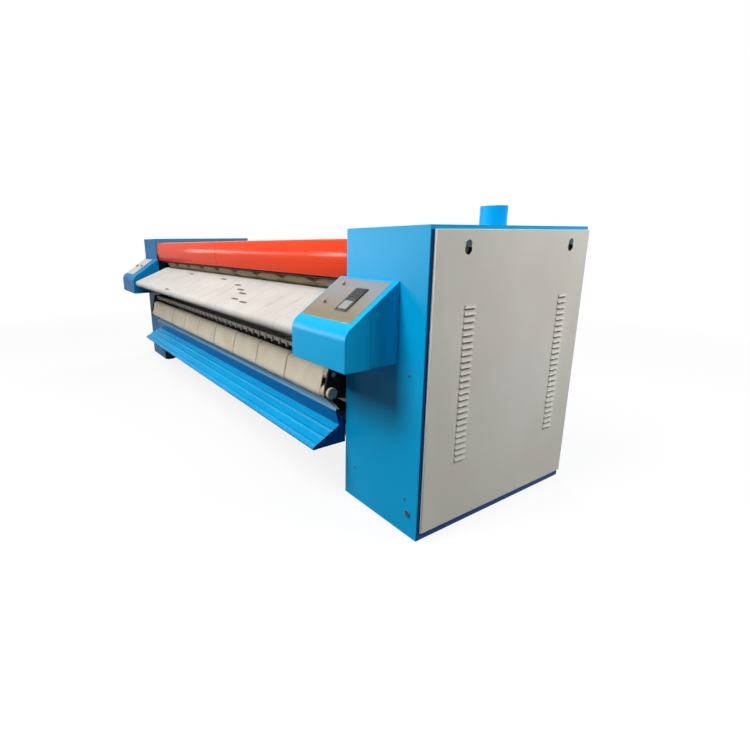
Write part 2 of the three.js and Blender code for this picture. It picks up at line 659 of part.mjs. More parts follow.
// Finger guard: a bar on two end arms that swings in under the hood's lip.
const guardBar = { y: guardPivot.y + 4, z: guardPivot.z - 50, r: 8 };
const guardArm = [
  [guardPivot.y - 7, guardPivot.z + 9], [guardPivot.y - 7, guardPivot.z],
  [guardBar.y - 7, guardBar.z], [guardBar.y + 7, guardBar.z], [guardPivot.y + 9, guardPivot.z],
  [guardPivot.y + 9, guardPivot.z + 9],
];
addPart('finger_guard', shape([
  rod(guardBar.r, -1758, 1758, 10, guardBar.y, guardBar.z),
  ...[-1, 1].flatMap((side) => [
    alongX(guardArm, side * 1752, side * 1758),
    rod(guardPivot.r, side * 1756, side * 1789, 8, guardPivot.y, guardPivot.z),
  ]),
]), blackPlastic);

// ---------- exhaust ----------
// Scroll casing: the wall drifts outward round the impeller and rises into a straight outlet.
const scrollStart = 103;
const scrollEnd = 135;
const outlet = { front: fan.y - scrollEnd, rear: fan.y - 15 };
function scrollOutline(inset, top) {
  const steps = 14;
  const spiral = Array.from({ length: steps + 1 }, (_, i) => {
    const along = i / steps;
    const angle = THREE.MathUtils.degToRad(98 - along * 278);
    const radius = scrollStart + (scrollEnd - scrollStart) * along - inset;
    return [fan.y + radius * Math.cos(angle), fan.z + radius * Math.sin(angle)];
  });
  return [...spiral, [outlet.front + inset, top], [outlet.rear - inset, top]];
}
const motorHole = 16;
addPart('fan_casing', shape([
  alongX(scrollOutline(0, outletHeight), fan.from, fan.to),
  rod(fan.inlet + 4, innerX + framePlate + gap, fan.from + 1, 16, fan.y, fan.z),
], [
  alongX(scrollOutline(sheet, outletHeight + 1), fan.from + sheet, fan.to - sheet),
  rod(fan.inlet, innerX + framePlate - 1, fan.from + sheet + 1, 16, fan.y, fan.z),
  rod(motorHole, fan.to - sheet - 1, fan.to + 1, 10, fan.y, fan.z),
]), zincSheet);

const bladeCount = 8;
const blades = Array.from({ length: bladeCount }, (_, i) => (
  block(fan.from + 14, fan.to - 12, -1.5, 1.5, 52, fan.impeller - 2)
    .rotateX(0.6).rotateX((2 * Math.PI * i) / bladeCount)));
const impeller = addPart('fan_impeller', shape([
  rod(fan.impeller, fan.to - 13, fan.to - 10, 16),
  rod(12, fan.to - 40, fan.to + 60, 10),
  ...blades,
]), zincSheet);
impeller.position.set(0, fan.y, fan.z);

addPart('fan_motor', shape([
  turned([[0, fan.to + gap], [70, fan.to + gap], [70, fan.to + 14], [62, fan.to + 14],
    [62, fan.to + 158], [0, fan.to + 158]], 14, fan.y, fan.z),
], [bore(12, fan.to - 1, fan.to + 62, fan.y, fan.z, 10)]), motorPaint);

const pipeFoot = outletHeight + gap;
addPart('exhaust_pipe', shape([
  block(fan.from - 6, fan.to + 6, pipe.y - 72, pipe.y + 72, pipeFoot, pipeFoot + 4),
  rodAlongZ(pipe.r, pipeFoot + 1, pipe.top, 24, pipe.x, pipe.y),
], [rodAlongZ(pipe.r - pipe.wall, pipeFoot - 1, pipe.top + 1, 24, pipe.x, pipe.y)]), bluePaint);

// ---------- drive ----------
const driveLoop = [{ ...motorPulley, turn: 1 }, { ...cylinder, r: cylinderPulley, turn: 1 }];
const driveBand = (extra) => beltOutline(driveLoop, (wheel) => wheel.r + extra, () => 15);
addPart('drive_belt', alongX(
  driveBand(beltClearance + driveBelt.thickness),
  drivePlane - driveBelt.width / 2, drivePlane + driveBelt.width / 2, [driveBand(beltClearance)],
), blackPlastic);

// Pulleys: a broad rim on a thin web round a hub, and a small flanged one on the motor's shaft.
const rimHalf = driveBelt.width / 2 + 3;
const rimInside = cylinderPulley - 14;
const hubRadius = 90;
const pulleySides = 24;
const hubBore = (journalRadius + gap) / Math.cos(Math.PI / pulleySides);
addPart('cylinder_pulley', turned([
  [hubBore, drivePlane - 20], [hubRadius, drivePlane - 20], [hubRadius, drivePlane - 5],
  [rimInside, drivePlane - 5], [rimInside, drivePlane - rimHalf],
  [cylinderPulley, drivePlane - rimHalf], [cylinderPulley, drivePlane + rimHalf],
  [rimInside, drivePlane + rimHalf], [rimInside, drivePlane + 5], [hubRadius, drivePlane + 5],
  [hubRadius, drivePlane + 45], [hubBore, drivePlane + 45], [hubBore, drivePlane - 20],
], pulleySides, cylinder.y, cylinder.z), castIron);

const flange = { height: 5, width: 4 };
const motorShaftRadius = 20;
addPart('motor_pulley', turned([
  [0, drivePlane - rimHalf - flange.width],
  [motorPulley.r + flange.height, drivePlane - rimHalf - flange.width],
  [motorPulley.r + flange.height, drivePlane - rimHalf], [motorPulley.r, drivePlane - rimHalf],
  [motorPulley.r, drivePlane + rimHalf], [motorPulley.r + flange.height, drivePlane + rimHalf],
  [motorPulley.r + flange.height, drivePlane + rimHalf + flange.width],
  [motorShaftRadius, drivePlane + rimHalf + flange.width], [motorShaftRadius, drivePlane + 80],
  [0, drivePlane + 80],
], 16, motorPulley.y, motorPulley.z), castIron);

const reducer = { from: drivePlane + 38, to: drivePlane + 190, half: 105 };
addPart('gear_reducer', shape([
  block(reducer.from, reducer.to, motorPulley.y - reducer.half, motorPulley.y + reducer.half,
    motorPulley.z - reducer.half, motorPulley.z + reducer.half),
  block(reducer.from + 15, reducer.to - 15, motorPulley.y - 60, motorPulley.y + 60,
    panHeight + 14, motorPulley.z - reducer.half + 1),
  block(reducer.from - 5, reducer.to + 5, motorPulley.y - 130, motorPulley.y + 130,
    panHeight + gap, panHeight + 15),
], [bore(motorShaftRadius, reducer.from - 1, drivePlane + 82, motorPulley.y, motorPulley.z)]), motorPaint);

const motorFrom = reducer.to + gap;
const motorEnd = outerX - 20;
addPart('drive_motor', turned([
  [0, motorFrom], [95, motorFrom], [95, motorFrom + 14], [72, motorFrom + 14],
  [72, motorEnd - 40], [78, motorEnd - 40], [78, motorEnd], [0, motorEnd],
], 14, motorPulley.y, motorPulley.z), motorPaint);

export default machine;
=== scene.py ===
import json
import math

import bmesh
import bpy
import numpy as np
from mathutils import Matrix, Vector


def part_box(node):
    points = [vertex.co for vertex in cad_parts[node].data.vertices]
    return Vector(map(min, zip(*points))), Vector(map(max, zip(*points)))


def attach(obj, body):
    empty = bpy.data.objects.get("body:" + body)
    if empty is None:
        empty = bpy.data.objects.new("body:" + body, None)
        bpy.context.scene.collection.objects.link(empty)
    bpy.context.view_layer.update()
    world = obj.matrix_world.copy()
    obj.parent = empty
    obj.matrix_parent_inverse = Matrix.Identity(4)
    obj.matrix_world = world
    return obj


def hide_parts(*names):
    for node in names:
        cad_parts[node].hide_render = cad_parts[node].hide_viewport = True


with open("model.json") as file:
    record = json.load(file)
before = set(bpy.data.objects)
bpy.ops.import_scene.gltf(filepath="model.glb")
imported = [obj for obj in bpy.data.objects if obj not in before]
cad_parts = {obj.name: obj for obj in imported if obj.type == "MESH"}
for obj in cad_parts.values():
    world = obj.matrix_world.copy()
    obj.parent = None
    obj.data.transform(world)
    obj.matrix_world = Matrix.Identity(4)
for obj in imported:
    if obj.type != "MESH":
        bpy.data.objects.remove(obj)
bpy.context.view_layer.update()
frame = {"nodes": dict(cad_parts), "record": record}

# Flatwork ironer: two blue end cabinets, a glossy red hood, a feed table of canvas belts, felt
# ironing belts round a heated cylinder and a ribbed catch tray. Lengths in metres; the sizes in
# the dictionaries are in mm, x from mid length, y back from the cabinets' front, z from the floor.
mm = 0.001
nodes = frame["nodes"]
bodyOf = {n: b for b, ns in frame["record"]["behaviour"]["bodies"].items() for n in ns}
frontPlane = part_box("cabinet_cover_left")[0].y  # y of the cabinets' front face
print("frame loaded:", len(nodes), "nodes")


def placed(points):
    # (y, z) points in mm from the cabinets' front, moved into the frame.
    return np.asarray(points, float) * mm + (frontPlane, 0)


def dressed(name, mesh, finish, carrier, stands=(), sharp=35):
    # Shades a piece, makes it ride with its carrier, and hides the named solids that it stands for.
    mesh.shade_smooth()
    mesh.set_sharp_from_angle(angle=math.radians(sharp))
    mesh.materials.clear()
    mesh.materials.append(finish)
    piece = bpy.data.objects.new(name, mesh)
    bpy.context.scene.collection.objects.link(piece)
    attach(piece, bodyOf[carrier])
    if stands:
        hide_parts(*stands)
    return piece


def wholeMesh(name, points, faces):
    # Mesh from arrays, its doubles merged and every face turned outward.
    mesh = bpy.data.meshes.new(name)
    mesh.from_pydata(np.asarray(points, float).reshape(-1, 3), [], faces)
    work = bmesh.new()
    work.from_mesh(mesh)
    bmesh.ops.remove_doubles(work, verts=work.verts, dist=1e-6)
    bmesh.ops.recalc_face_normals(work, faces=work.faces)
    work.to_mesh(mesh)
    work.free()
    return mesh


def gridFaces(rows, columns, closeRows=False, closeColumns=False):
    # Quads between neighbours of a rows x columns grid; a closed way joins its last to its first.
    i, j = np.meshgrid(
        np.arange(rows if closeRows else rows - 1),
        np.arange(columns if closeColumns else columns - 1), indexing="ij",
    )
    a, b = i * columns, ((i + 1) % rows) * columns
    k = (j + 1) % columns
    return np.stack([a + j, b + j, b + k, a + k], -1).reshape(-1, 4)


def sweptSolid(name, outline, stations):
    # Carries a closed (y, z) outline along X through the stations and caps both ends.
    outline = np.asarray(outline, float)
    rows, columns = len(stations), len(outline)
    points = np.empty((rows, columns, 3))
    points[..., 0] = np.asarray(stations)[:, None]
    points[..., 1:] = outline
    faces = gridFaces(rows, columns, closeColumns=True).tolist()
    ends = [list(range(columns)), list(range((rows - 1) * columns, rows * columns))]
    return wholeMesh(name, points, faces + ends)


def openSheet(name, points):
    # One-sided sheet over a grid of points; rows run along X, and its face looks to the left of
    # the path that each row follows.
    mesh = bpy.data.meshes.new(name)
    mesh.from_pydata(points.reshape(-1, 3), [], gridFaces(*points.shape[:2]).tolist())
    return mesh


def alongX(path, stations):
    # Grid of points: the (y, z) path repeated at each x.
    points = np.empty((len(stations), len(path), 3))
    points[..., 0] = np.asarray(stations)[:, None]
    points[..., 1:] = path
    return points


def easedPath(corners, radius, steps=6):
    # Path of corners, each eased by a curve that is tangent to both of its sides:
    # P(s) = (1-s)^2 A + 2s(1-s) C + s^2 B, with A and B where an arc of the radius would touch.
    corners = np.asarray(corners, float)
    middle = corners[1:-1]
    before = corners[:-2] - middle
    after = corners[2:] - middle
    lengths = [np.linalg.norm(side, axis=1, keepdims=True) for side in (before, after)]
    before, after = before / lengths[0], after / lengths[1]
    half = np.arccos(np.clip((before * after).sum(1, keepdims=True), -1, 1)) / 2
    reach = np.minimum(radius / np.tan(half), 0.45 * np.minimum(*lengths))[:, None]
    s = np.linspace(0, 1, steps)[None, :, None]
    start, end = middle[:, None] + before[:, None] * reach, middle[:, None] + after[:, None] * reach
    curves = (1 - s) ** 2 * start + 2 * s * (1 - s) * middle[:, None] + s ** 2 * end
    return np.concatenate([corners[:1], curves.reshape(-1, 2), corners[-1:]])


def arcPoints(y, z, radius, fromDegrees, toDegrees, steps):
    angle = np.radians(np.linspace(fromDegrees, toDegrees, steps))
    return np.stack([y + radius * np.cos(angle), z + radius * np.sin(angle)], 1)


def turnedAlong(name, profile, y, z, sides=72):
    # Turns an axis-to-axis or closed (radius, x) profile about the line along X through (y, z).
    profile = np.asarray(profile, float)
    turn = np.linspace(0, 2 * math.pi, sides, endpoint=False)[:, None]
    across, up = profile[:, 0] * np.cos(turn), profile[:, 0] * np.sin(turn)
    along = np.broadcast_to(profile[:, 1], across.shape)
    faces = gridFaces(sides, len(profile), closeRows=True)
    return wholeMesh(name, np.stack([along, across + y, up + z], -1), faces.tolist())


def axisOf(node):
    low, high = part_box(node)
    return (low.y + high.y) / 2, (low.z + high.z) / 2


def rollerProfile(node):
    # The stepped profile that a roller's solid turns: its radii grouped by x, and each group
    # walked on from the radius that the one before ended at.
    mesh = nodes[node].data
    points = np.empty(len(mesh.vertices) * 3)
    mesh.vertices.foreach_get("co", points)
    points = points.reshape(-1, 3)
    y, z = axisOf(node)
    radius = np.hypot(points[:, 1] - y, points[:, 2] - z)
    steps = np.unique(np.round(np.stack([points[:, 0], radius], 1), 4), axis=0)
    profile = [(0, steps[0, 0])]
    for x in np.unique(steps[:, 0]):
        radii = steps[steps[:, 0] == x, 1]
        if abs(radii[0] - profile[-1][0]) > abs(radii[-1] - profile[-1][0]):
            radii = radii[::-1]
        profile += [(r, x) for r in radii if (r, x) != profile[-1]]
    return profile


def finishEdges(piece, width, segments=2, thickness=0, weighted=False):
    # Thickness behind a sheet's face, rounded edges, and flat faces that shade flat.
    if thickness:
        wall = piece.modifiers.new("sheetThickness", "SOLIDIFY")
        wall.thickness = thickness
        wall.offset = -1
        wall.use_even_offset = True
    bevel = piece.modifiers.new("roundedEdges", "BEVEL")
    bevel.width = width
    bevel.segments = segments
    bevel.limit_method = "WEIGHT" if weighted else "ANGLE"
    bevel.angle_limit = math.radians(34)
    flat = piece.modifiers.new("flatFaces", "WEIGHTED_NORMAL")
    flat.keep_sharp = True
    return piece


def rounded(node, finish, width=1.2 * mm, longest=0, sharp=35, joinFlat=True):
    # A copy of a solid with its doubles merged and its edges rounded; with `longest`, only the
    # crisp edges at least that long are.
    mesh = nodes[node].data.copy()
    work = bmesh.new()
    work.from_mesh(mesh)
    bmesh.ops.remove_doubles(work, verts=work.verts, dist=1e-5)
    if joinFlat:
        bmesh.ops.dissolve_limit(
            work, angle_limit=math.radians(0.3), verts=work.verts, edges=work.edges,
        )
    crisp = [
        float(e.calc_length() > longest and e.calc_face_angle(0) > math.radians(34))
        for e in work.edges
    ]
    work.to_mesh(mesh)
    work.free()
    if longest:
        mesh.attributes.new("bevel_weight_edge", "FLOAT", "EDGE").data.foreach_set("value", crisp)
    piece = dressed(node + "_rounded", mesh, finish, node, [node], sharp)
    return finishEdges(piece, width, weighted=bool(longest))


def linear(hexColour):
    # sRGB hex to the linear colour that a shader takes.
    channel = np.array([int(hexColour[i:i + 2], 16) for i in (1, 3, 5)]) / 255
    value = np.where(channel <= 0.04045, channel / 12.92, ((channel + 0.055) / 1.055) ** 2.4)
    return (*value, 1.0)


def addNode(tree, kind, inputs=None, **settings):
    # Adds a shader node, sets it up, and links or sets each of its inputs.
    node = tree.nodes.new("ShaderNode" + kind)
    for key, value in settings.items():
        setattr(node, key, value)
    for key, value in (inputs or {}).items():
        if isinstance(value, bpy.types.NodeSocket):
            tree.links.new(value, node.inputs[key])
        else:
            node.inputs[key].default_value = value
    return node


def newFinish(name, **surface):
    # A material with its shader and the place on the object that its patterns read.
    material = bpy.data.materials.new(name)
    material.use_nodes = True
    tree = material.node_tree
    shader = tree.nodes["Principled BSDF"]
    for key, value in surface.items():
        shader.inputs[key].default_value = value
    place = addNode(tree, "TexCoord").outputs["Object"]
    return material, tree, shader, place


def blended(tree, factor, first, second):
    # Colour between two, by a factor socket; either may be a hex colour or a socket.
    ends = [linear(c) if isinstance(c, str) else c for c in (first, second)]
    return addNode(tree, "Mix", {0: factor, 6: ends[0], 7: ends[1]}, data_type="RGBA").outputs[2]


def bumped(tree, shader, height, strength, distance):
    bump = addNode(tree, "Bump", {"Height": height, "Strength": strength, "Distance": distance})
    tree.links.new(bump.outputs[0], shader.inputs["Normal"])


def stepUp(tree, place, height, softness):
    # 0 below a height of the object and 1 above it, over a soft border.
    z = addNode(tree, "SeparateXYZ", {0: place}).outputs[2]
    return addNode(tree, "MapRange", {
        "Value": z, "From Min": height - softness, "From Max": height + softness,
    }).outputs[0]


def powderCoat(name, colour, shade, roughness=0.42, level=0.1, above=()):
    # Baked polyester powder on steel sheet: even colour, a satin gloss and a faint orange peel.
    # `above` holds heights in metres, and the colour that the sheet has from there up.
    material, tree, shader, place = newFinish(
        name, **{"Roughness": roughness, "Specular IOR Level": level})
    broad = addNode(tree, "TexNoise", {"Vector": place, "Scale": 2.2, "Detail": 2})
    tone = addNode(tree, "MapRange", {"Value": broad.outputs[0], "From Min": 0.35, "From Max": 0.65})
    paint = blended(tree, tone.outputs[0], shade, colour)
    for height, other in above:
        paint = blended(tree, stepUp(tree, place, height, 0.004), paint, other)
    tree.links.new(paint, shader.inputs["Base Color"])
    peel = addNode(tree, "TexNoise", {"Vector": place, "Scale": 260, "Detail": 1})  # 4 mm peel
    bumped(tree, shader, peel.outputs[0], 0.1, 0.0004)
    return material


def hoodEnamel():
    # Red stove enamel on rolled sheet: a wet gloss whose reflections waver with the sheet.
    material, tree, shader, place = newFinish(
        "redStoveEnamel", **{"Roughness": 0.16, "Specular IOR Level": 0.03})
    broad = addNode(tree, "TexNoise", {"Vector": place, "Scale": 1.4, "Detail": 2})
    tree.links.new(blended(tree, broad.outputs[0], "#ea4322", "#f04a27"), shader.inputs["Base Color"])
    long = addNode(tree, "Mapping", {"Vector": place, "Scale": (2.5, 9, 9)})  # waves 400 mm long
    ripple = addNode(tree, "TexNoise", {"Vector": long.outputs[0], "Scale": 1, "Detail": 1})
    bumped(tree, shader, ripple.outputs[0], 0.3, 0.006)
    return material


def groundSteel(name, colour, shade, roughness, grain=(6, 600, 600), metallic=1.0, upper=None):
    # Steel with the fine parallel lines of a belt grinder; `grain` is lines a metre each way.
    # `upper` is a colour that the metal turns to and the two heights between which it does.
    material, tree, shader, place = newFinish(name, Metallic=metallic)
    stretched = addNode(tree, "Mapping", {"Vector": place, "Scale": grain})
    lines = addNode(tree, "TexNoise", {"Vector": stretched.outputs[0], "Scale": 1, "Detail": 3})
    tint = blended(tree, lines.outputs[0], shade, colour)
    if upper:
        middle, reach = (upper[1] + upper[2]) / 2, (upper[2] - upper[1]) / 2
        tint = blended(tree, stepUp(tree, place, middle, reach), tint, upper[0])
    tree.links.new(tint, shader.inputs["Base Color"])
    rough = addNode(tree, "MapRange", {
        "Value": lines.outputs[0], "To Min": roughness - 0.08, "To Max": roughness + 0.1,
    })
    tree.links.new(rough.outputs[0], shader.inputs["Roughness"])
    bumped(tree, shader, lines.outputs[0], 0.1, 0.0003)
    return material


def roughCasting(name, colour, shade):
    # Painted grey iron as it leaves the sand: grainy, matt, with darker hollows.
    material, tree, shader, place = newFinish(name, Roughness=0.62, Metallic=0.2)
    sand = addNode(tree, "TexNoise", {"Vector": place, "Scale": 320, "Detail": 4})  # 3 mm grain
    tree.links.new(blended(tree, sand.outputs[0], shade, colour), shader.inputs["Base Color"])
    bumped(tree, shader, sand.outputs[0], 0.5, 0.0008)
    return material


def feedCanvas():
    # Plain-woven cotton and polyester belting, off-white: a weave drawn at 5 mm, four times its
    # real thread spacing, so that it shows, with streaks along the warp and soft handling marks.
    # Painted shade makes it a little greyer towards the right, where the lamps light it more.
    material, tree, shader, place = newFinish("feedCanvas", **{
        "Roughness": 0.88, "Specular IOR Level": 0.2, "Sheen Weight": 0.1,
    })
    weave = addNode(tree, "UVMap", uv_map="cloth").outputs[0]
    thread, bandAtOne = 0.005, 0.314  # metres; a wave texture's band is 0.314 m wide at scale 1
    threads = [
        addNode(tree, "TexWave", {"Vector": weave, "Scale": bandAtOne / thread}, bands_direction=way)
        for way in ("X", "Y")
    ]
    plain = addNode(tree, "Math", {
        0: threads[0].outputs[1], 1: threads[1].outputs[1],
    }, operation="MULTIPLY")
    warp = addNode(tree, "Mapping", {"Vector": place, "Scale": (130, 3, 3)})  # streaks 8 mm apart
    streak = addNode(tree, "TexNoise", {"Vector": warp.outputs[0], "Scale": 1, "Detail": 2})
    marks = addNode(tree, "TexNoise", {"Vector": place, "Scale": 5, "Detail": 4})
    soil = addNode(tree, "MapRange", {"Value": marks.outputs[0], "From Min": 0.35, "From Max": 0.75})
    thin = addNode(tree, "MapRange", {"Value": streak.outputs[0], "From Min": 0.62, "From Max": 0.7})
    # Painted shade: greyer towards the right end.
    x = addNode(tree, "SeparateXYZ", {0: place}).outputs[0]
    rightShade = addNode(tree, "MapRange", {"Value": x, "From Min": -1.6, "From Max": 1.6})
    leftCloth = blended(tree, soil.outputs[0], "#ccccc8", "#c4c4bf")
    rightShadedCloth = blended(tree, soil.outputs[0], "#c2bfb9", "#bab6af")
    cloth = blended(tree, rightShade.outputs[0], leftCloth, rightShadedCloth)
    tree.links.new(blended(tree, thin.outputs[0], cloth, "#8d8982"), shader.inputs["Base Color"])
    bumped(tree, shader, plain.outputs[0], 0.35, 0.0006)
    return material


def ironingFelt():
    # Needled polyester felt, beige from heat: short tangled fibres and cloudy tones that heat has
    # browned.
    # Painted shade darkens each belt along its edges, where it meets its neighbours. In front of
    # the nip, painted light and shade follow a scallop on each belt: a golden lit tone over the
    # swell, and above it a brown painted shadow under the hood's lip.
    beltWidth, scallop = 0.377, 0.035  # metres
    material, tree, shader, place = newFinish("ironingFelt", **{
        "Roughness": 0.95, "Specular IOR Level": 0.2, "Sheen Weight": 0.2,
    })
    fibre = addNode(tree, "TexNoise", {"Vector": place, "Scale": 420, "Detail": 5})  # 2.4 mm
    cloud = addNode(tree, "TexNoise", {"Vector": place, "Scale": 7, "Detail": 3})
    tone = addNode(tree, "MapRange", {"Value": cloud.outputs[0], "From Min": 0.3, "From Max": 0.7})
    felt = blended(tree, tone.outputs[0], "#e2d8c2", "#d5cab1")
    across = addNode(tree, "SeparateXYZ", {0: addNode(tree, "UVMap", uv_map="cloth").outputs[0]})
    fromEdge = addNode(tree, "Math", {0: across.outputs[1], 1: beltWidth / 2}, operation="PINGPONG")
    # Painted shade along each belt's edges, where it meets its neighbours.
    edgeShade = addNode(tree, "MapRange", {
        "Value": fromEdge.outputs[0], "From Max": 0.009, "To Min": 0.6, "To Max": 0.0,
    })
    felt = blended(tree, edgeShade.outputs[0], felt, "#4c4435")
    z = addNode(tree, "SeparateXYZ", {0: place}).outputs[2]
    turn = addNode(tree, "Math", {0: fromEdge.outputs[0], 1: math.pi / beltWidth}, operation="MULTIPLY")
    swell = addNode(tree, "Math", {0: turn.outputs[0]}, operation="SINE")
    arch = addNode(tree, "Math", {0: swell.outputs[0], 1: -scallop, 2: z}, operation="MULTIPLY_ADD")
    # Painted light and shade above the scallop: a golden lit tone, then a brown painted shadow under the
    # hood's lip.
    for low, high, paintedTone in ((1.05, 1.07, "#cdb68c"), (1.108, 1.118, "#5d4a33")):
        band = addNode(tree, "MapRange", {"Value": arch.outputs[0], "From Min": low, "From Max": high})
        felt = blended(tree, band.outputs[0], felt, paintedTone)
    tree.links.new(felt, shader.inputs["Base Color"])
    bumped(tree, shader, fibre.outputs[0], 0.5, 0.0008)
    return material


def mouldedPlastic(name, colour, roughness=0.35):
    # Injection-moulded ABS: an even colour under a very fine spark-eroded grain.
    material, tree, shader, place = newFinish(name, Roughness=roughness, IOR=1.54)
    shader.inputs["Base Color"].default_value = linear(colour)
    grain = addNode(tree, "TexNoise", {"Vector": place, "Scale": 900, "Detail": 2})
    bumped(tree, shader, grain.outputs[0], 0.1, 0.0002)
    return material


finishes = {
    "blue": powderCoat("blueCabinetPaint", "#00a8e0", "#00a1d9"),
    # A deeper blue for the left cabinet and control box: painted shade, as the left end gets less light.
    "leftBluePaintedShade": powderCoat("blueLeftCabinetPaintedShade", "#0074ae", "#006ea6", 0.42, 0.05),
    # Tray blue: painted shade darkens the riser from 0.403 m up, and from 0.486 m up a pale painted
    # reflection of the sky lies on the shoulder.
    "tray": powderCoat("blueTrayPaintedShadeAndReflection", "#009ad2", "#0093ca",
                       above=[(0.403, "#0070ae"), (0.486, "#5f9dc2")]),
    # Navy: painted shade, for the tray's end plates and the strips along the side panels.
    "shadeNavy": powderCoat("navyPaintedShade", "#06508f", "#064b87"),
    # Side frames: near-black painted shade below 1.285 m, where they stand in the recess under the hood,
    # and blue above.
    "inside": powderCoat("framePaintedShade", "#0d2338", "#0b2034", above=[(1.285, "#2a86b4")]),
    "grey": powderCoat("greyPanelPaint", "#e4e2da", "#dedcd2", 0.5),
    "red": hoodEnamel(),
    "plate": groundSteel("brushedFrontPlate", "#8d8269", "#7d725d", 0.42, (500, 12, 12), 0.75,
                         ("#95999b", 1.03, 1.15)),
    "palePlate": groundSteel("paleFrontPlate", "#c9c7bc", "#bab7aa", 0.42, (500, 12, 12), 0.6),
    "dark": powderCoat("darkMachinePaint", "#1d1f21", "#17181a", 0.55),
    "fingers": groundSteel("oiledFingerSteel", "#8a887c", "#6d6b61", 0.5, (60, 60, 60), 0.3),
    "lace": groundSteel("laceWire", "#6b665e", "#57534c", 0.5, (60, 60, 60), 0.5),
    "bed": groundSteel("dullTableSteel", "#a3a196", "#8f8d82", 0.5, (6, 300, 300), 0.4),
    "steel": groundSteel("groundSteel", "#a9adaf", "#8b8f91", 0.34),
    "chrome": groundSteel("polishedCylinder", "#8f9192", "#7d7f80", 0.3, (4, 300, 300)),
    "iron": roughCasting("greyCasting", "#5c6265", "#474c4f"),
    "motor": powderCoat("motorPaint", "#667a84", "#5a6d77", 0.48),
    "zinc": groundSteel("zincCoatedSheet", "#b9bfc2", "#9aa1a5", 0.4, (20, 20, 20)),
    # Pale blue-grey: painted reflection of the sky on the tray's up-facing top strip.
    "edge": powderCoat("paleStripPaintedReflection", "#a9c0c6", "#9cb6be", 0.4),
    "canvas": feedCanvas(),
    "felt": ironingFelt(),
    "cover": powderCoat("rollerCoverCloth", "#ddd3bd", "#cfc4ac", 0.9),
    "black": mouldedPlastic("blackMouldedPlastic", "#0f1011"),
    "rubber": mouldedPlastic("driveBeltRubber", "#151617", 0.7),
    "stopRed": mouldedPlastic("redButtonPlastic", "#b8281e", 0.25),
    "startGreen": mouldedPlastic("greenButtonPlastic", "#1c7c3a", 0.25),
    "pink": mouldedPlastic("pinkLampPlastic", "#b28575", 0.3),
    "screen": mouldedPlastic("greyScreenGlass", "#8b8e88", 0.15),
}
print("finishes made:", len(finishes))


def beltPath(wheels, spacing):
    # Closed path round wheels (y, z, radius, turn) in travel order, by arcs and the straight
    # lines tangent to both neighbours; turn is 1 where the wheel lies inside. Returns points,
    # outward normals and the distance along.
    wheels = np.asarray(wheels, float)
    centre, signed = wheels[:, :2], wheels[:, 2] * wheels[:, 3]
    step = np.roll(centre, -1, 0) - centre
    span = np.hypot(*step.T)
    heading = np.arctan2(step[:, 1], step[:, 0]) + np.arcsin((signed - np.roll(signed, -1)) / span)
    pieces = []
    for i, (place, reach, turn) in enumerate(zip(centre, signed, wheels[:, 3])):
        wrap = (turn * (heading[i] - heading[i - 1])) % (2 * math.pi)
        count = max(int(abs(reach) * wrap / spacing), 4)
        angle = heading[i - 1] + turn * np.linspace(0, wrap, count)
        normal = np.stack([np.sin(angle), -np.cos(angle)], 1)
        arc = place + reach * normal
        following = (i + 1) % len(wheels)
        landing = centre[following] + signed[following] * normal[-1]
        part = np.linspace(0, 1, max(int(np.hypot(*(landing - arc[-1])) / spacing), 2))[1:-1, None]
        run = arc[-1] + (landing - arc[-1]) * part
        pieces.append(np.concatenate([arc, run]))
        pieces.append(np.concatenate([normal, np.repeat(normal[-1:], len(run), 0)]))
    points, normals = np.concatenate(pieces[::2]), np.concatenate(pieces[1::2])
    ahead = np.hypot(*(np.roll(points, -1, 0) - points).T)
    return points, normals, np.concatenate([[0], np.cumsum(ahead)])


def beltMesh(name, path, thickness, left, right, columns, lift=None):
    # Band of even thickness with rounded edges, carried round the path. Its section runs over
    # the outer face and back under the inner one. lift(x across 0..1, y, z) raises both faces.
    points, normals, along = path
    across = np.linspace(0, 1, columns)
    edge = np.clip(np.minimum(across, 1 - across) * (right - left) / (thickness / 2), 0, 1)
    height = thickness / 2 * np.sqrt(1 - (1 - edge) ** 2)
    sectionX = np.concatenate([across, across[-2:0:-1]])
    sectionH = np.concatenate([height, -height[-2:0:-1]])
    raised = np.zeros((len(points), len(sectionX)))
    if lift:
        raised = lift(sectionX[None, :], points[:, :1], points[:, 1:])
    spread = np.empty((len(points), len(sectionX), 3))
    spread[..., 0] = left + (right - left) * sectionX
    spread[..., 1:] = points[:, None] + normals[:, None] * (sectionH + raised)[..., None]
    mesh = bpy.data.meshes.new(name)
    mesh.from_pydata(spread.reshape(-1, 3), [], gridFaces(*spread.shape[:2], True, True).tolist())
    rows, cols = np.meshgrid(np.arange(len(points)), np.arange(len(sectionX)), indexing="ij")
    wrapX = np.append(sectionX, sectionX[0]) * (right - left)
    corners = [(0, 0), (1, 0), (1, 1), (0, 1)]
    cloth = np.stack([
        np.stack([along[rows + down], wrapX[cols + over]], -1) for down, over in corners
    ], -2)
    mesh.uv_layers.new(name="cloth").data.foreach_set("uv", cloth.ravel())
    return mesh


runningGap = 0.4 * mm  # between a roller and the band on it


def wheel(node, turn, half):
    # A roller for beltPath, its radius grown by the running gap and half the band's thickness.
    low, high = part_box(node)
    return *axisOf(node), (high.z - low.z) / 2 + half + runningGap, turn


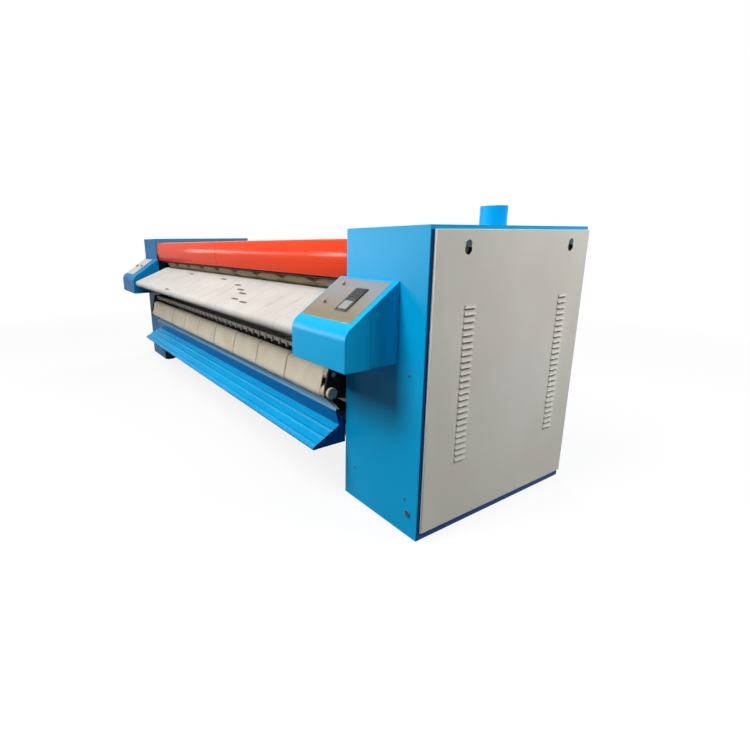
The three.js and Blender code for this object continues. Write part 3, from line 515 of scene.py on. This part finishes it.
# The felt's faint waves begin `rippleFrom` mm before the cabinets' front. A belt's width holds
# `ripplesAcross` of them; they lean by `rippleRise` radians a metre of height, and each belt's
# are moved on from the last one's by `rippleShift` of a wave.
ironing = {
    "thickness": 4, "gap": 3, "columns": 22, "spacing": 9,
    "bulge": 14, "bulgeAt": (91, 1128), "bulgeReach": 42,
    "ripple": 1.2, "rippleFrom": 49, "rippleEase": 10,
    "ripplesAcross": 2.3, "rippleRise": 6, "rippleShift": 0.37,
}
half = ironing["thickness"] / 2 * mm
ironingPath = beltPath([
    wheel("nip_roller", 1, half), wheel("heated_cylinder", -1, half),
    wheel("upper_outfeed_roller", 1, half), wheel("lower_outfeed_roller", 1, half),
    wheel("lower_return_roller", 1, half), wheel("upper_return_roller", 1, half),
], ironing["spacing"] * mm)
bulgeY, bulgeZ = placed(ironing["bulgeAt"])


def ironingLift(number):
    # Slack felt swells in front of the nip, as a cosine across the belt and a bell along it,
    # and lies in faint waves on the free runs at the front.
    def lift(x, y, z):
        bell = np.exp(-((y - bulgeY) ** 2 + (z - bulgeZ) ** 2) / (ironing["bulgeReach"] * mm) ** 2)
        swell = ironing["bulge"] * mm * np.cos(math.pi * (x - 0.5)) * bell
        ahead = y - frontPlane + ironing["rippleFrom"] * mm
        inFront = 1 / (1 + np.exp(ahead / (ironing["rippleEase"] * mm)))
        turns = x * ironing["ripplesAcross"] + ironing["rippleShift"] * number
        wave = np.sin(2 * math.pi * turns + ironing["rippleRise"] * z)
        return swell + ironing["ripple"] * mm * wave * inFront
    return lift


beltNodes = [f"ironing_belt_{number}" for number in range(1, 10)]
beltSpare = (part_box(beltNodes[1])[0].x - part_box(beltNodes[0])[1].x - ironing["gap"] * mm) / 2
for number, node in enumerate(beltNodes):
    low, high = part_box(node)
    mesh = beltMesh(node + "_felt", ironingPath, ironing["thickness"] * mm,
                    low.x - beltSpare, high.x + beltSpare, ironing["columns"], ironingLift(number))
    dressed(node + "_felt", mesh, finishes["felt"], node, [node], 60)
print("ironing belts wrapped")

feed = {"count": 10, "gap": 1.5, "thickness": 3, "columns": 20, "spacing": 8}
half = feed["thickness"] / 2 * mm
feedPath = beltPath([wheel("feed_drive_roller", 1, half), wheel("feed_nose_roller", 1, half)],
                    feed["spacing"] * mm)
feedSolids = [f"feed_belt_{i}" for i in range(1, 6)]
feedLeft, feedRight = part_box(feedSolids[0])[0].x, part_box(feedSolids[-1])[1].x
feedPitch = (feedRight - feedLeft + feed["gap"] * mm) / feed["count"]
perSolid = feed["count"] // len(feedSolids)
for i in range(feed["count"]):
    left = feedLeft + i * feedPitch
    solid = feedSolids[i // perSolid]
    mesh = beltMesh(f"feed_canvas_{i + 1}", feedPath, feed["thickness"] * mm,
                    left, left + feedPitch - feed["gap"] * mm, feed["columns"])
    dressed(f"feed_canvas_{i + 1}", mesh, finishes["canvas"], solid, [solid], 60)
print("feed belts laid:", feed["count"])

# Dark marks on the feed belts, taken as the wire lacing that joins a belt's ends; each (x, y back).
lacing = {
    "clips": [(498, -20), (647, -66), (754, -101), (788, -171), (942, -184), (-665, 26), (125, 25),
              (-539, -251)],
    "length": 22, "width": 120, "height": 1.2, "rings": 5, "sides": 12,
    "overMiddle": 50,  # nearest to this far over the rollers' middle, the path is on its upper run
}


def laceClips():
    # Low domes along the belt's slope: an oval on a grid, raised as the root of what is left
    # from its rim, (1 - r^2)^0.5.
    middle = np.mean([axisOf(n) for n in ("feed_nose_roller", "feed_drive_roller")], axis=0)
    upper = middle + (0, lacing["overMiddle"] * mm)
    nearest = np.argmin(np.linalg.norm(feedPath[0] - upper, axis=1))
    start, up = feedPath[0][nearest], feedPath[1][nearest]
    along = np.array([up[1], -up[0]])
    rings, sides = lacing["rings"], lacing["sides"]
    ring, turn = np.meshgrid(
        np.linspace(0, 1, rings), np.linspace(0, 2 * math.pi, sides, endpoint=False), indexing="ij",
    )
    faces = gridFaces(rings, sides, closeColumns=True).tolist()
    underside = list(range((rings - 1) * sides, rings * sides))
    for number, (x, y) in enumerate(lacing["clips"]):
        side = ring * np.cos(turn) * lacing["width"] / 2 * mm
        run = ring * np.sin(turn) * lacing["length"] / 2 * mm
        rise = lacing["height"] * mm * np.sqrt(1 - ring ** 2) + feed["thickness"] * mm / 2
        onBelt = start + along * ((y * mm + frontPlane - start[0]) / along[0])
        points = np.empty((*ring.shape, 3))
        points[..., 0] = x * mm + side
        points[..., 1:] = onBelt + run[..., None] * along + rise[..., None] * up
        mesh = wholeMesh(f"belt_lacing_{number + 1}", points, faces + [underside])
        dressed(mesh.name, mesh, finishes["lace"], "feed_belt_3", sharp=50)


laceClips()

for node in ("nip_roller", "lower_return_roller", "upper_return_roller", "feed_nose_roller",
             "feed_drive_roller", "upper_outfeed_roller", "lower_outfeed_roller"):
    wrapped = "outfeed" in node
    profile = easedPath(rollerProfile(node), (5 if wrapped else 1.5) * mm)
    mesh = turnedAlong(node + "_turned", profile, *axisOf(node))
    dressed(node + "_turned", mesh, finishes["cover" if wrapped else "steel"], node, [node])

drum = {"half": 1740, "radius": 400, "journal": 55, "bore": 25}
low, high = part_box("heated_cylinder")
bore, journal, radius, drumHalf = (drum[k] * mm for k in ("bore", "journal", "radius", "half"))
profile = easedPath([
    (bore, 0), (bore, low.x), (journal, low.x), (journal, -drumHalf), (radius, -drumHalf),
    (radius, drumHalf), (journal, drumHalf), (journal, high.x), (bore, high.x), (bore, 0),
], 3 * mm)
mesh = turnedAlong("heated_cylinder_turned", profile, *axisOf("heated_cylinder"), sides=128)
dressed("heated_cylinder_turned", mesh, finishes["chrome"], "heated_cylinder", ["heated_cylinder"])
print("rollers and cylinder turned")

hood = {
    "lip": (36, 1162), "bow": (278, 1268, 272), "bowStart": 203, "bend": 18, "top": 1355,
    "flat": (120, 1000), "rear": (1061, 1296, 59), "rearLip": (1120, 1104),
    "hem": 9, "sheet": 3, "seam": 5,
}


def hoodPath():
    # Lip with an inward hem, shallow bow, tight bend tangent to bow and top, flat, rear curve.
    y, z, bowRadius = hood["bow"]
    bend = hood["bend"]
    tilt = math.asin((hood["top"] - bend - z) / (bowRadius - bend))
    start = 180 - math.degrees(tilt)
    bendY = y - (bowRadius - bend) * math.cos(tilt)
    return placed(np.concatenate([
        [(hood["lip"][0] + hood["hem"], hood["lip"][1] + 3), (hood["lip"][0] + 2, hood["lip"][1])],
        arcPoints(y, z, bowRadius, hood["bowStart"], start, 30),
        arcPoints(bendY, hood["top"] - bend, bend, start, 90, 8)[1:],
        np.stack([np.linspace(*hood["flat"], 9), np.full(9, hood["top"])], 1),
        arcPoints(*hood["rear"], 90, 0, 14), [hood["rearLip"]],
    ]))


for node in ("hood_left", "hood_right"):
    low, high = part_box(node)
    ends = [math.copysign(max(abs(x), hood["seam"] / 2 * mm), low.x + high.x) for x in (low.x, high.x)]
    mesh = openSheet(node + "_rolled", alongX(hoodPath(), np.linspace(*ends, 24)))
    piece = dressed(node + "_rolled", mesh, finishes["red"], node, [node], 50)
    finishEdges(piece, 0.8 * mm, thickness=hood["sheet"] * mm)
print("hood rolled")

tray = {
    "strip": (-20, 528), "edge": (-42, 528), "shoulder": (-60, 486), "rampHead": (-36, 402),
    "rampFoot": (-203, 313), "hem": [(-200, 300), (-172, 300)], "half": 1770, "sheet": 3,
    "beads": [0.13, 0.43, 0.74], "beadHeight": 7, "beadHalf": 0.07,
    "slantFrom": 1640, "slantLow": 492, "stripThickness": 1.2,
}


def trayRamp(count):
    # Points from the ramp's foot to its head; each bead swells as half a wave of a cosine.
    foot, head = np.array(tray["rampFoot"]), np.array(tray["rampHead"])
    along = np.linspace(0, 1, count)
    out = np.array([-(head - foot)[1], (head - foot)[0]]) / np.linalg.norm(head - foot)
    nearest = np.min(np.abs(along[:, None] - tray["beads"]), axis=1) / tray["beadHalf"]
    rise = np.where(nearest < 1, (1 + np.cos(math.pi * np.clip(nearest, 0, 1))) / 2, 0)
    return foot + np.outer(along, head - foot) + np.outer(rise * tray["beadHeight"], out)


def fallAway(points):
    # Towards its ends the riser gets shorter, so the strip on top slants down: heights over the
    # shoulder shrink in proportion, and the strip stays on the riser.
    edgeY, edgeZ = tray["edge"]
    shoulderY, shoulderZ = tray["shoulder"]
    past = np.clip((np.abs(points[..., 0]) / mm - tray["slantFrom"])
                   / (tray["half"] - tray["slantFrom"]), 0, 1)
    keep = 1 - past * (edgeZ - tray["slantLow"] - 1) / (edgeZ - shoulderZ)
    above = np.clip((points[..., 2] / mm - shoulderZ) / (edgeZ - shoulderZ), 0, 1.2)
    points[..., 1] -= (1 - keep) * above * (edgeY - shoulderY) * mm
    points[..., 2] -= (1 - keep) * above * (edgeZ - shoulderZ) * mm
    return points


def makeTray():
    # The eased corners take over the first and last few points of the ramp.
    ramp, taken = trayRamp(90), 4
    low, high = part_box("catch_tray")
    inner = np.linspace(-tray["slantFrom"], tray["slantFrom"], 30)
    ends = np.linspace(tray["slantFrom"], tray["half"], 6)[1:]
    stations = np.concatenate([-ends[::-1], inner, ends]) * mm
    lower = easedPath([tray["hem"][1], tray["hem"][0], tray["rampFoot"], ramp[taken]], 3)
    upper = easedPath([ramp[-taken], tray["rampHead"], tray["shoulder"], tray["edge"],
                       tray["strip"]], 2.5)
    path = placed(np.concatenate([lower[:-1], ramp[taken:-taken], upper]))
    mesh = openSheet("catch_tray_folded", fallAway(alongX(path, stations)))
    piece = dressed("catch_tray_folded", mesh, finishes["tray"], "catch_tray", ["catch_tray"], 60)
    finishEdges(piece, 0.8 * mm, thickness=tray["sheet"] * mm)
    # A thin strip along the tray's top edge, whose pale finish is a painted reflection of the sky.
    edgeY, edgeZ = tray["edge"]
    above = tray["stripThickness"] - 0.2
    strip = placed([(edgeY - 1.4, edgeZ - 3), (edgeY - 0.8, edgeZ + above),
                    (tray["strip"][0], edgeZ + above)])
    mesh = openSheet("tray_edge_strip", fallAway(alongX(strip, stations)))
    piece = dressed("tray_edge_strip", mesh, finishes["edge"], "catch_tray", sharp=60)
    finishEdges(piece, 0.3 * mm, thickness=tray["stripThickness"] * mm)
    outline = placed([
        (tray["rampFoot"][0] + 1, tray["rampFoot"][1] - 1), (-199, 301), (4, 301), (4, 425),
        (-15, 443), (tray["shoulder"][0] + 1, tray["shoulder"][1] - 1),
        (tray["rampHead"][0] + 1, tray["rampHead"][1] - 1),
    ])
    # End plates in navy: painted shade on the tray's ends.
    for side, outside in (("left", low.x), ("right", high.x)):
        inside = outside - math.copysign(tray["sheet"] * mm, outside)
        mesh = sweptSolid(f"tray_end_{side}", outline, sorted((inside, outside)))
        finishEdges(dressed(mesh.name, mesh, finishes["shadeNavy"], "catch_tray"), 0.6 * mm)


makeTray()
print("catch tray folded")

slant = {"degrees": 34.4, "top": 1176, "bottom": 812, "front": -288, "nose": 70, "edge": 1.5}
fold = {"front": -153, "rear": -4, "foot": 818, "head": 1168, "thickness": 1.6}
slope = math.radians(slant["degrees"])


def controlBox(node):
    # Closed section: flat rear and bottom, a big round nose tangent to the front and the slope.
    low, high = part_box(node)
    front, radius = slant["front"], slant["nose"]
    middleY = front + radius
    middleZ = slant["top"] + math.tan(slope) * middleY - radius / math.cos(slope)
    outline = np.concatenate([
        [(-0.3, slant["bottom"]), (front, slant["bottom"])],
        arcPoints(middleY, middleZ, radius, 180, 90 + slant["degrees"], 24),
        [(-0.3, slant["top"] - 0.3 * math.tan(slope))],
    ])
    mesh = sweptSolid(node + "_folded", placed(outline), (low.x, high.x))
    paint = finishes["blue" if "right" in node else "leftBluePaintedShade"]
    finishEdges(dressed(node + "_folded", mesh, paint, node, [node]), slant["edge"] * mm, 3)


def sideCover(node, outer, facing):
    # Thin cover over the rear of a control box's outer end, whose fold shows as a light line.
    front, rear, foot, head = (fold[k] for k in ("front", "rear", "foot", "head"))
    fall = (rear - front) * math.tan(slope)
    outline = placed([(front, foot), (rear, foot), (rear, head), (front, head - fall)])
    face = outer + facing * fold["thickness"] * mm
    mesh = sweptSolid(node + "_cover", outline, sorted((outer, face)))
    finishEdges(dressed(mesh.name, mesh, finishes["blue"], node), 0.7 * mm)


controlBox("control_box_left")
controlBox("control_box_right")
sideCover("control_box_right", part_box("control_box_right")[1].x, 1)


def slantPlace(x, down, height):
    # Point on a slanted top: `down` along the slope from the cabinet, `height` square to it.
    y = -down * math.cos(slope) - height * math.sin(slope)
    z = slant["top"] - down * math.sin(slope) + height * math.cos(slope)
    return np.stack([x * mm, y * mm + frontPlane, z * mm], -1)


def padOnSlant(name, sizes, finish, carrier, corner=4):
    # Flat pad with round corners on a slanted top; sizes are x, down and height, from and to.
    # Six points turn each corner, and the nudge keeps those on an axis in one corner only.
    (x0, x1), (d0, d1), (low, high) = sizes
    turns, nudge = np.radians(np.arange(0.0, 360, 15)), 0.01
    midX, midD = (x0 + x1) / 2, (d0 + d1) / 2
    reachX, reachD = (x1 - x0) / 2 - corner, (d1 - d0) / 2 - corner
    x = midX + np.sign(np.cos(turns + nudge)) * reachX + corner * np.cos(turns)
    d = midD + np.sign(np.sin(turns + nudge)) * reachD + corner * np.sin(turns)
    layers = [slantPlace(x, d, np.full_like(x, h)) for h in (low, high)]
    count = len(turns)
    faces = gridFaces(2, count, closeColumns=True).tolist()
    ends = [list(range(count)), list(range(count, 2 * count))]
    piece = dressed(name, wholeMesh(name, np.stack(layers), faces + ends), finish, carrier)
    return finishEdges(piece, min(0.8, corner / 3) * mm)


# The display: a black case, its dark keypad half towards the cabinet and a pale window below.
case = {"x": (1945, 2030), "down": (78, 232), "height": (2.6, 8.6), "split": 160}
x0, x1 = case["x"]
near, far = case["down"]
base, top = case["height"]
piece = padOnSlant("display_case", (case["x"], case["down"], (base, 6.2)), finishes["black"], "display")
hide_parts("display")
padOnSlant("display_keypad", ((x0 + 3, x1 - 3), (near + 3, case["split"]), (6, top)),
           finishes["black"], "display", 6)
padOnSlant("display_window", ((x0 + 12, x1 - 14), (case["split"] + 6, far - 12), (6, 7)),
           finishes["screen"], "display", 2)
for i in range(4):
    down = case["split"] - 14 - i * 16
    padOnSlant(f"display_key_{i + 1}", ((x0 + 16, x1 - 16), (down - 9, down), (8.4, 9.6)),
               finishes["rubber"], "display", 3)
print("control boxes made")


def darkDome(name, carrier, x, y, z, reach, axis, thickness):
    # Low domed disc on an axis, over a thin straight rim: its height falls from the middle as
    # (1 - r^4).
    rings, sides, rimHeight = 7, 24, 0.2 * mm
    ring, turn = np.meshgrid(
        np.linspace(0, 1, rings), np.linspace(0, 2 * math.pi, sides, endpoint=False), indexing="ij",
    )
    first, second = ring * np.cos(turn) * reach, ring * np.sin(turn) * reach
    rise = thickness * (1 - ring ** 4)
    flat = np.zeros_like(rise)
    shape = {
        "x": lambda h: [x + h, y + first, z + second],
        "-x": lambda h: [x - h, y + first, z + second],
        "-y": lambda h: [x + first, y - h, z + second],
    }[axis]
    points = np.stack([np.stack(shape(h), -1) for h in (rise + rimHeight, flat)])
    top, count = gridFaces(rings, sides, closeColumns=True), rings * sides
    rim = gridFaces(2, sides, closeColumns=True)
    rim = np.where(rim < sides, rim + count - sides, rim + 2 * count - 2 * sides)
    faces = np.concatenate([top, top + count, rim]).tolist()
    mesh = wholeMesh(name, points, faces)
    dressed(name, mesh, finishes["black"], carrier, sharp=50)


# Headed studs that hang the side panels, black discs of painted shade behind their keyholes,
# the cable grommet and the screws of the right cover.
fittings = {
    "studs": (210, 965), "studHeight": 1327, "studHead": 15.6, "headFace": 15.4,
    "root": (20, -6, 48),  # back and up from the stud, and the disc's radius
    "grommet": (2254, 129, 15.5), "screws": [(2231, 190), (1863, 190), (2231, 776)], "screw": 6,
}
cabinetSide = 2310 * mm
rootBack, rootUp, rootReach = fittings["root"]
for side, name in ((-1, "left"), (1, "right")):
    axis = "x" if side > 0 else "-x"
    for number, y in enumerate(fittings["studs"]):
        darkDome(f"stud_head_{name}_{number + 1}", f"cabinet_cover_{name}",
                 side * (cabinetSide + fittings["headFace"] * mm), frontPlane + y * mm,
                 fittings["studHeight"] * mm, fittings["studHead"] * mm, axis, 1.2 * mm)
        darkDome(f"stud_root_{name}_{number + 1}", f"cabinet_cover_{name}",
                 side * (cabinetSide + 0.2 * mm), frontPlane + (y + rootBack) * mm,
                 (fittings["studHeight"] + rootUp) * mm, rootReach * mm, axis, 1.2 * mm)
x, z, reach = fittings["grommet"]
darkDome("cable_grommet", "cabinet_cover_right", x * mm, frontPlane - 6 * mm, z * mm, reach * mm,
         "-y", 2.5 * mm)
for number, (x, z) in enumerate(fittings["screws"]):
    darkDome(f"cover_screw_{number + 1}", "cabinet_cover_right", x * mm, frontPlane - 3 * mm, z * mm,
             fittings["screw"] * mm, "-y", 1.5 * mm)

# Navy strips that edge each side panel at the front and below: painted shade where the proud
# panel shades the cabinet; (y, z) from and to in mm.
shadeStrips = {"front": ((3, 24), (14, 1383)), "foot": ((24, 1124), (14, 54)), "thickness": 0.8}
for side, name in ((-1, "left"), (1, "right")):
    for place in ("front", "foot"):
        (y0, y1), (z0, z1) = shadeStrips[place]
        faces = sorted(side * (cabinetSide + t * mm) for t in (0.2, 0.2 + shadeStrips["thickness"]))
        mesh = sweptSolid(f"{place}_shade_strip_{name}", placed([(y0, z0), (y1, z0), (y1, z1), (y0, z1)]), faces)
        dressed(mesh.name, mesh, finishes["shadeNavy"], f"cabinet_cover_{name}")
print("fittings set")

for node, finish in {
    "side_frame_left": "inside", "side_frame_right": "inside",
    "main_bearing_left": "iron", "main_bearing_right": "iron", "cylinder_pulley": "iron",
    "motor_pulley": "iron", "drive_belt": "rubber", "gear_reducer": "motor",
    "drive_motor": "motor", "fan_motor": "motor", "fan_casing": "zinc", "fan_impeller": "zinc",
    "front_cross_beam": "dark", "rear_cross_beam": "dark", "roller_arm_left": "dark",
    "roller_arm_right": "dark", "stripper_bar": "fingers", "feed_table_bed": "bed",
    # The finger guard's dark machine paint also gives the painted shade of the gap under the hood's lip.
    "finger_guard": "dark", "exhaust_pipe": "blue", "control_plate_left": "palePlate",
    "control_plate_right": "plate", "start_button": "startGreen", "stop_button": "stopRed",
    "faster_button": "pink", "slower_button": "pink",
}.items():
    rounded(node, finishes[finish])
for node, finish in {
    "cabinet_cover_left": "leftBluePaintedShade", "cabinet_cover_right": "blue", "rear_cover": "blue",
}.items():
    rounded(node, finishes[finish], 2 * mm, longest=250 * mm, joinFlat=False)
for node in ("side_panel_left", "side_panel_right"):
    rounded(node, finishes["grey"], 2.4 * mm, longest=900 * mm, joinFlat=False)
print("solids rounded and dressed")

studio = {
    "ambient": 0.025, "floor": "#e6e6e6", "floorToObject": "#484848",
    "white": 0.86, "whiteFrom": 3.0, "whiteTo": 7.0, "underneath": 0.08,
    "shade": {"middle": 0.36, "halfLength": 1.76, "halfDepth": 0.34, "softFrom": 0.9},
    "main": {"energy": 370, "size": 4.0, "place": (0.6, -4.0, 7.0), "towards": (0.8, -0.4, 1.0)},
    "key": {"energy": 225, "size": 2.0, "place": (1.2, -4.9, 4.9), "towards": (2.0, -0.4, 0.7)},
    "side": {"energy": 180, "size": 2.0, "place": (4.6, 2.4, 4.2), "towards": (2.3, 0.1, 0.8)},
    "back": {"energy": 200, "size": 3.0, "place": (-3.6, 4.2, 4.4), "towards": (-0.4, 0.2, 0.8)},
    "overhead": {"energy": 0.7, "from": (0.5, -0.1, 0.86), "angle": 25},
    "streak": {"energy": 12, "size": 2.8, "height": 0.16, "place": (-1.7, -2.22, 1.3),
               "towards": (1.3, -0.42, 1.27)},
    "nearStreak": {"energy": 55, "size": 1.6, "height": 0.16, "place": (-0.3, -2.6, 1.32),
                   "towards": (1.6, -0.42, 1.27)},
}


def plainStage():
    # Pale floor that a camera or a gloss sees as white but for the object's soft shadow, and as
    # pure white further off, where it meets the background. It throws little light back up, and
    # the part that lies under the machine is nearly dark.
    material = bpy.data.materials.new("paleFloor")
    material.use_nodes = True
    tree = material.node_tree
    path = addNode(tree, "LightPath")
    place = addNode(tree, "TexCoord").outputs["Object"]
    away = addNode(tree, "VectorMath", {0: place}, operation="LENGTH").outputs["Value"]
    white = addNode(tree, "MapRange", {
        "Value": away, "From Min": studio["whiteFrom"], "From Max": studio["whiteTo"],
        "To Min": studio["white"], "To Max": 1.0,
    })
    seen = addNode(tree, "Math", {
        0: path.outputs["Is Camera Ray"], 1: path.outputs["Is Glossy Ray"],
    }, operation="MAXIMUM")
    halfLength, halfDepth = studio["shade"]["halfLength"], studio["shade"]["halfDepth"]
    footprint = addNode(tree, "Mapping", {
        "Vector": place, "Scale": (1 / halfLength, 1 / halfDepth, 0),
        "Location": (0, -studio["shade"]["middle"] / halfDepth, 0),
    })
    apart = addNode(tree, "VectorMath", {0: footprint.outputs[0]}, operation="ABSOLUTE")
    apart = addNode(tree, "SeparateXYZ", {0: apart.outputs[0]}).outputs
    outside = addNode(tree, "Math", {0: apart[0], 1: apart[1]}, operation="MAXIMUM")
    uncovered = addNode(tree, "MapRange", {
        "Value": outside.outputs[0], "From Min": studio["shade"]["softFrom"],
        "To Min": studio["underneath"],
    })
    bright = addNode(tree, "Math", {0: white.outputs[0], 1: uncovered.outputs[0]}, operation="MULTIPLY")
    share = addNode(tree, "Math", {0: seen.outputs[0], 1: bright.outputs[0]}, operation="MULTIPLY")
    tone = blended(tree, path.outputs["Is Diffuse Ray"], studio["floor"], studio["floorToObject"])
    matt = addNode(tree, "BsdfDiffuse", {"Color": tone})
    glow = addNode(tree, "Emission", {"Strength": 1.0})
    both = addNode(tree, "MixShader", {0: share.outputs[0], 1: matt.outputs[0], 2: glow.outputs[0]})
    tree.links.new(both.outputs[0], tree.nodes["Material Output"].inputs[0])
    mesh = bpy.data.meshes.new("paleFloor")
    reach = 60
    mesh.from_pydata([(-reach, -reach, 0), (reach, -reach, 0), (reach, reach, 0), (-reach, reach, 0)],
                     [], [(0, 1, 2, 3)])
    mesh.materials.append(material)
    floor = bpy.data.objects.new("paleFloor", mesh)
    bpy.context.scene.collection.objects.link(floor)


def paleWorld():
    # Even light from all round, and a white sky where a camera, gloss or glass looks at it.
    world = bpy.data.worlds.new("paleWorld")
    world.use_nodes = True
    tree = world.node_tree
    path = addNode(tree, "LightPath")
    shiny = addNode(tree, "Math", {
        0: path.outputs["Is Camera Ray"], 1: path.outputs["Is Glossy Ray"],
    }, operation="MAXIMUM")
    clear = addNode(tree, "Math", {
        0: shiny.outputs[0], 1: path.outputs["Is Transmission Ray"],
    }, operation="MAXIMUM")
    strength = addNode(tree, "MapRange", {
        "Value": clear.outputs[0], "To Min": studio["ambient"], "To Max": 1.0,
    })
    tree.links.new(strength.outputs[0], tree.nodes["Background"].inputs["Strength"])
    tree.nodes["Background"].inputs["Color"].default_value = (1, 1, 1, 1)
    bpy.context.scene.world = world


def turnTo(backward):
    # Turn that makes a lamp shine the opposite way to `backward`.
    backward = np.array(backward, float) / np.linalg.norm(backward)
    side = np.cross((0, 0, 1), backward)
    side /= np.linalg.norm(side)
    over = np.cross(backward, side)
    return Matrix(np.stack([side, over, backward], 1).tolist()).to_euler()


def lamp(name, kind, settings):
    # A sun from a direction, or a soft box at a place that looks towards a point: square, or a
    # strip of its own height that only glosses see.
    data = bpy.data.lights.new(name, kind)
    data.energy = settings["energy"]
    light = bpy.data.objects.new(name, data)
    if kind == "SUN":
        data.angle = math.radians(settings["angle"])
        light.rotation_euler = turnTo(settings["from"])
    else:
        data.size = settings["size"]
        if "height" in settings:
            data.shape = "RECTANGLE"
            data.size_y = settings["height"]
            light.visible_diffuse = False
        light.location = settings["place"]
        light.rotation_euler = turnTo(np.subtract(settings["place"], settings["towards"]))
    light.visible_camera = False
    bpy.context.scene.collection.objects.link(light)


plainStage()
paleWorld()
lamp("mainSoftBox", "AREA", studio["main"])
lamp("keySoftBox", "AREA", studio["key"])
lamp("sideSoftBox", "AREA", studio["side"])
lamp("backSoftBox", "AREA", studio["back"])
lamp("overheadSun", "SUN", studio["overhead"])
lamp("hoodStreak", "AREA", studio["streak"])
lamp("nearHoodStreak", "AREA", studio["nearStreak"])

view = {
    "place": (3.589, -1.7818, 1.3373), "yaw": 57.92, "pitch": 13.94, "roll": -0.73,  # degrees
    "focalPixels": 456.2, "middlePixels": (308.6, 355.9), "sidePixels": 750,
}


def photographersCamera():
    # Forward from yaw and pitch; right and up then turned by the roll.
    yaw, pitch, roll = (math.radians(view[k]) for k in ("yaw", "pitch", "roll"))
    forward = np.array([
        -math.sin(yaw) * math.cos(pitch), math.cos(yaw) * math.cos(pitch), -math.sin(pitch),
    ])
    right = np.array([math.cos(yaw), math.sin(yaw), 0])
    up = np.cross(right, forward)
    turnedRight = math.cos(roll) * right + math.sin(roll) * up
    turnedUp = -math.sin(roll) * right + math.cos(roll) * up
    data = bpy.data.cameras.new("photographersCamera")
    side = view["sidePixels"]
    data.sensor_width = 36
    data.lens = view["focalPixels"] / side * data.sensor_width
    data.shift_x = (side / 2 - view["middlePixels"][0]) / side
    data.shift_y = (view["middlePixels"][1] - side / 2) / side
    camera = bpy.data.objects.new("photographersCamera", data)
    turn = Matrix(np.stack([turnedRight, turnedUp, -forward], 1).tolist()).to_4x4()
    camera.matrix_world = Matrix.Translation(view["place"]) @ turn
    bpy.context.scene.collection.objects.link(camera)
    bpy.context.scene.camera = camera


photographersCamera()
bpy.context.scene.view_settings.view_transform = "Standard"
print("stage, light and camera set")
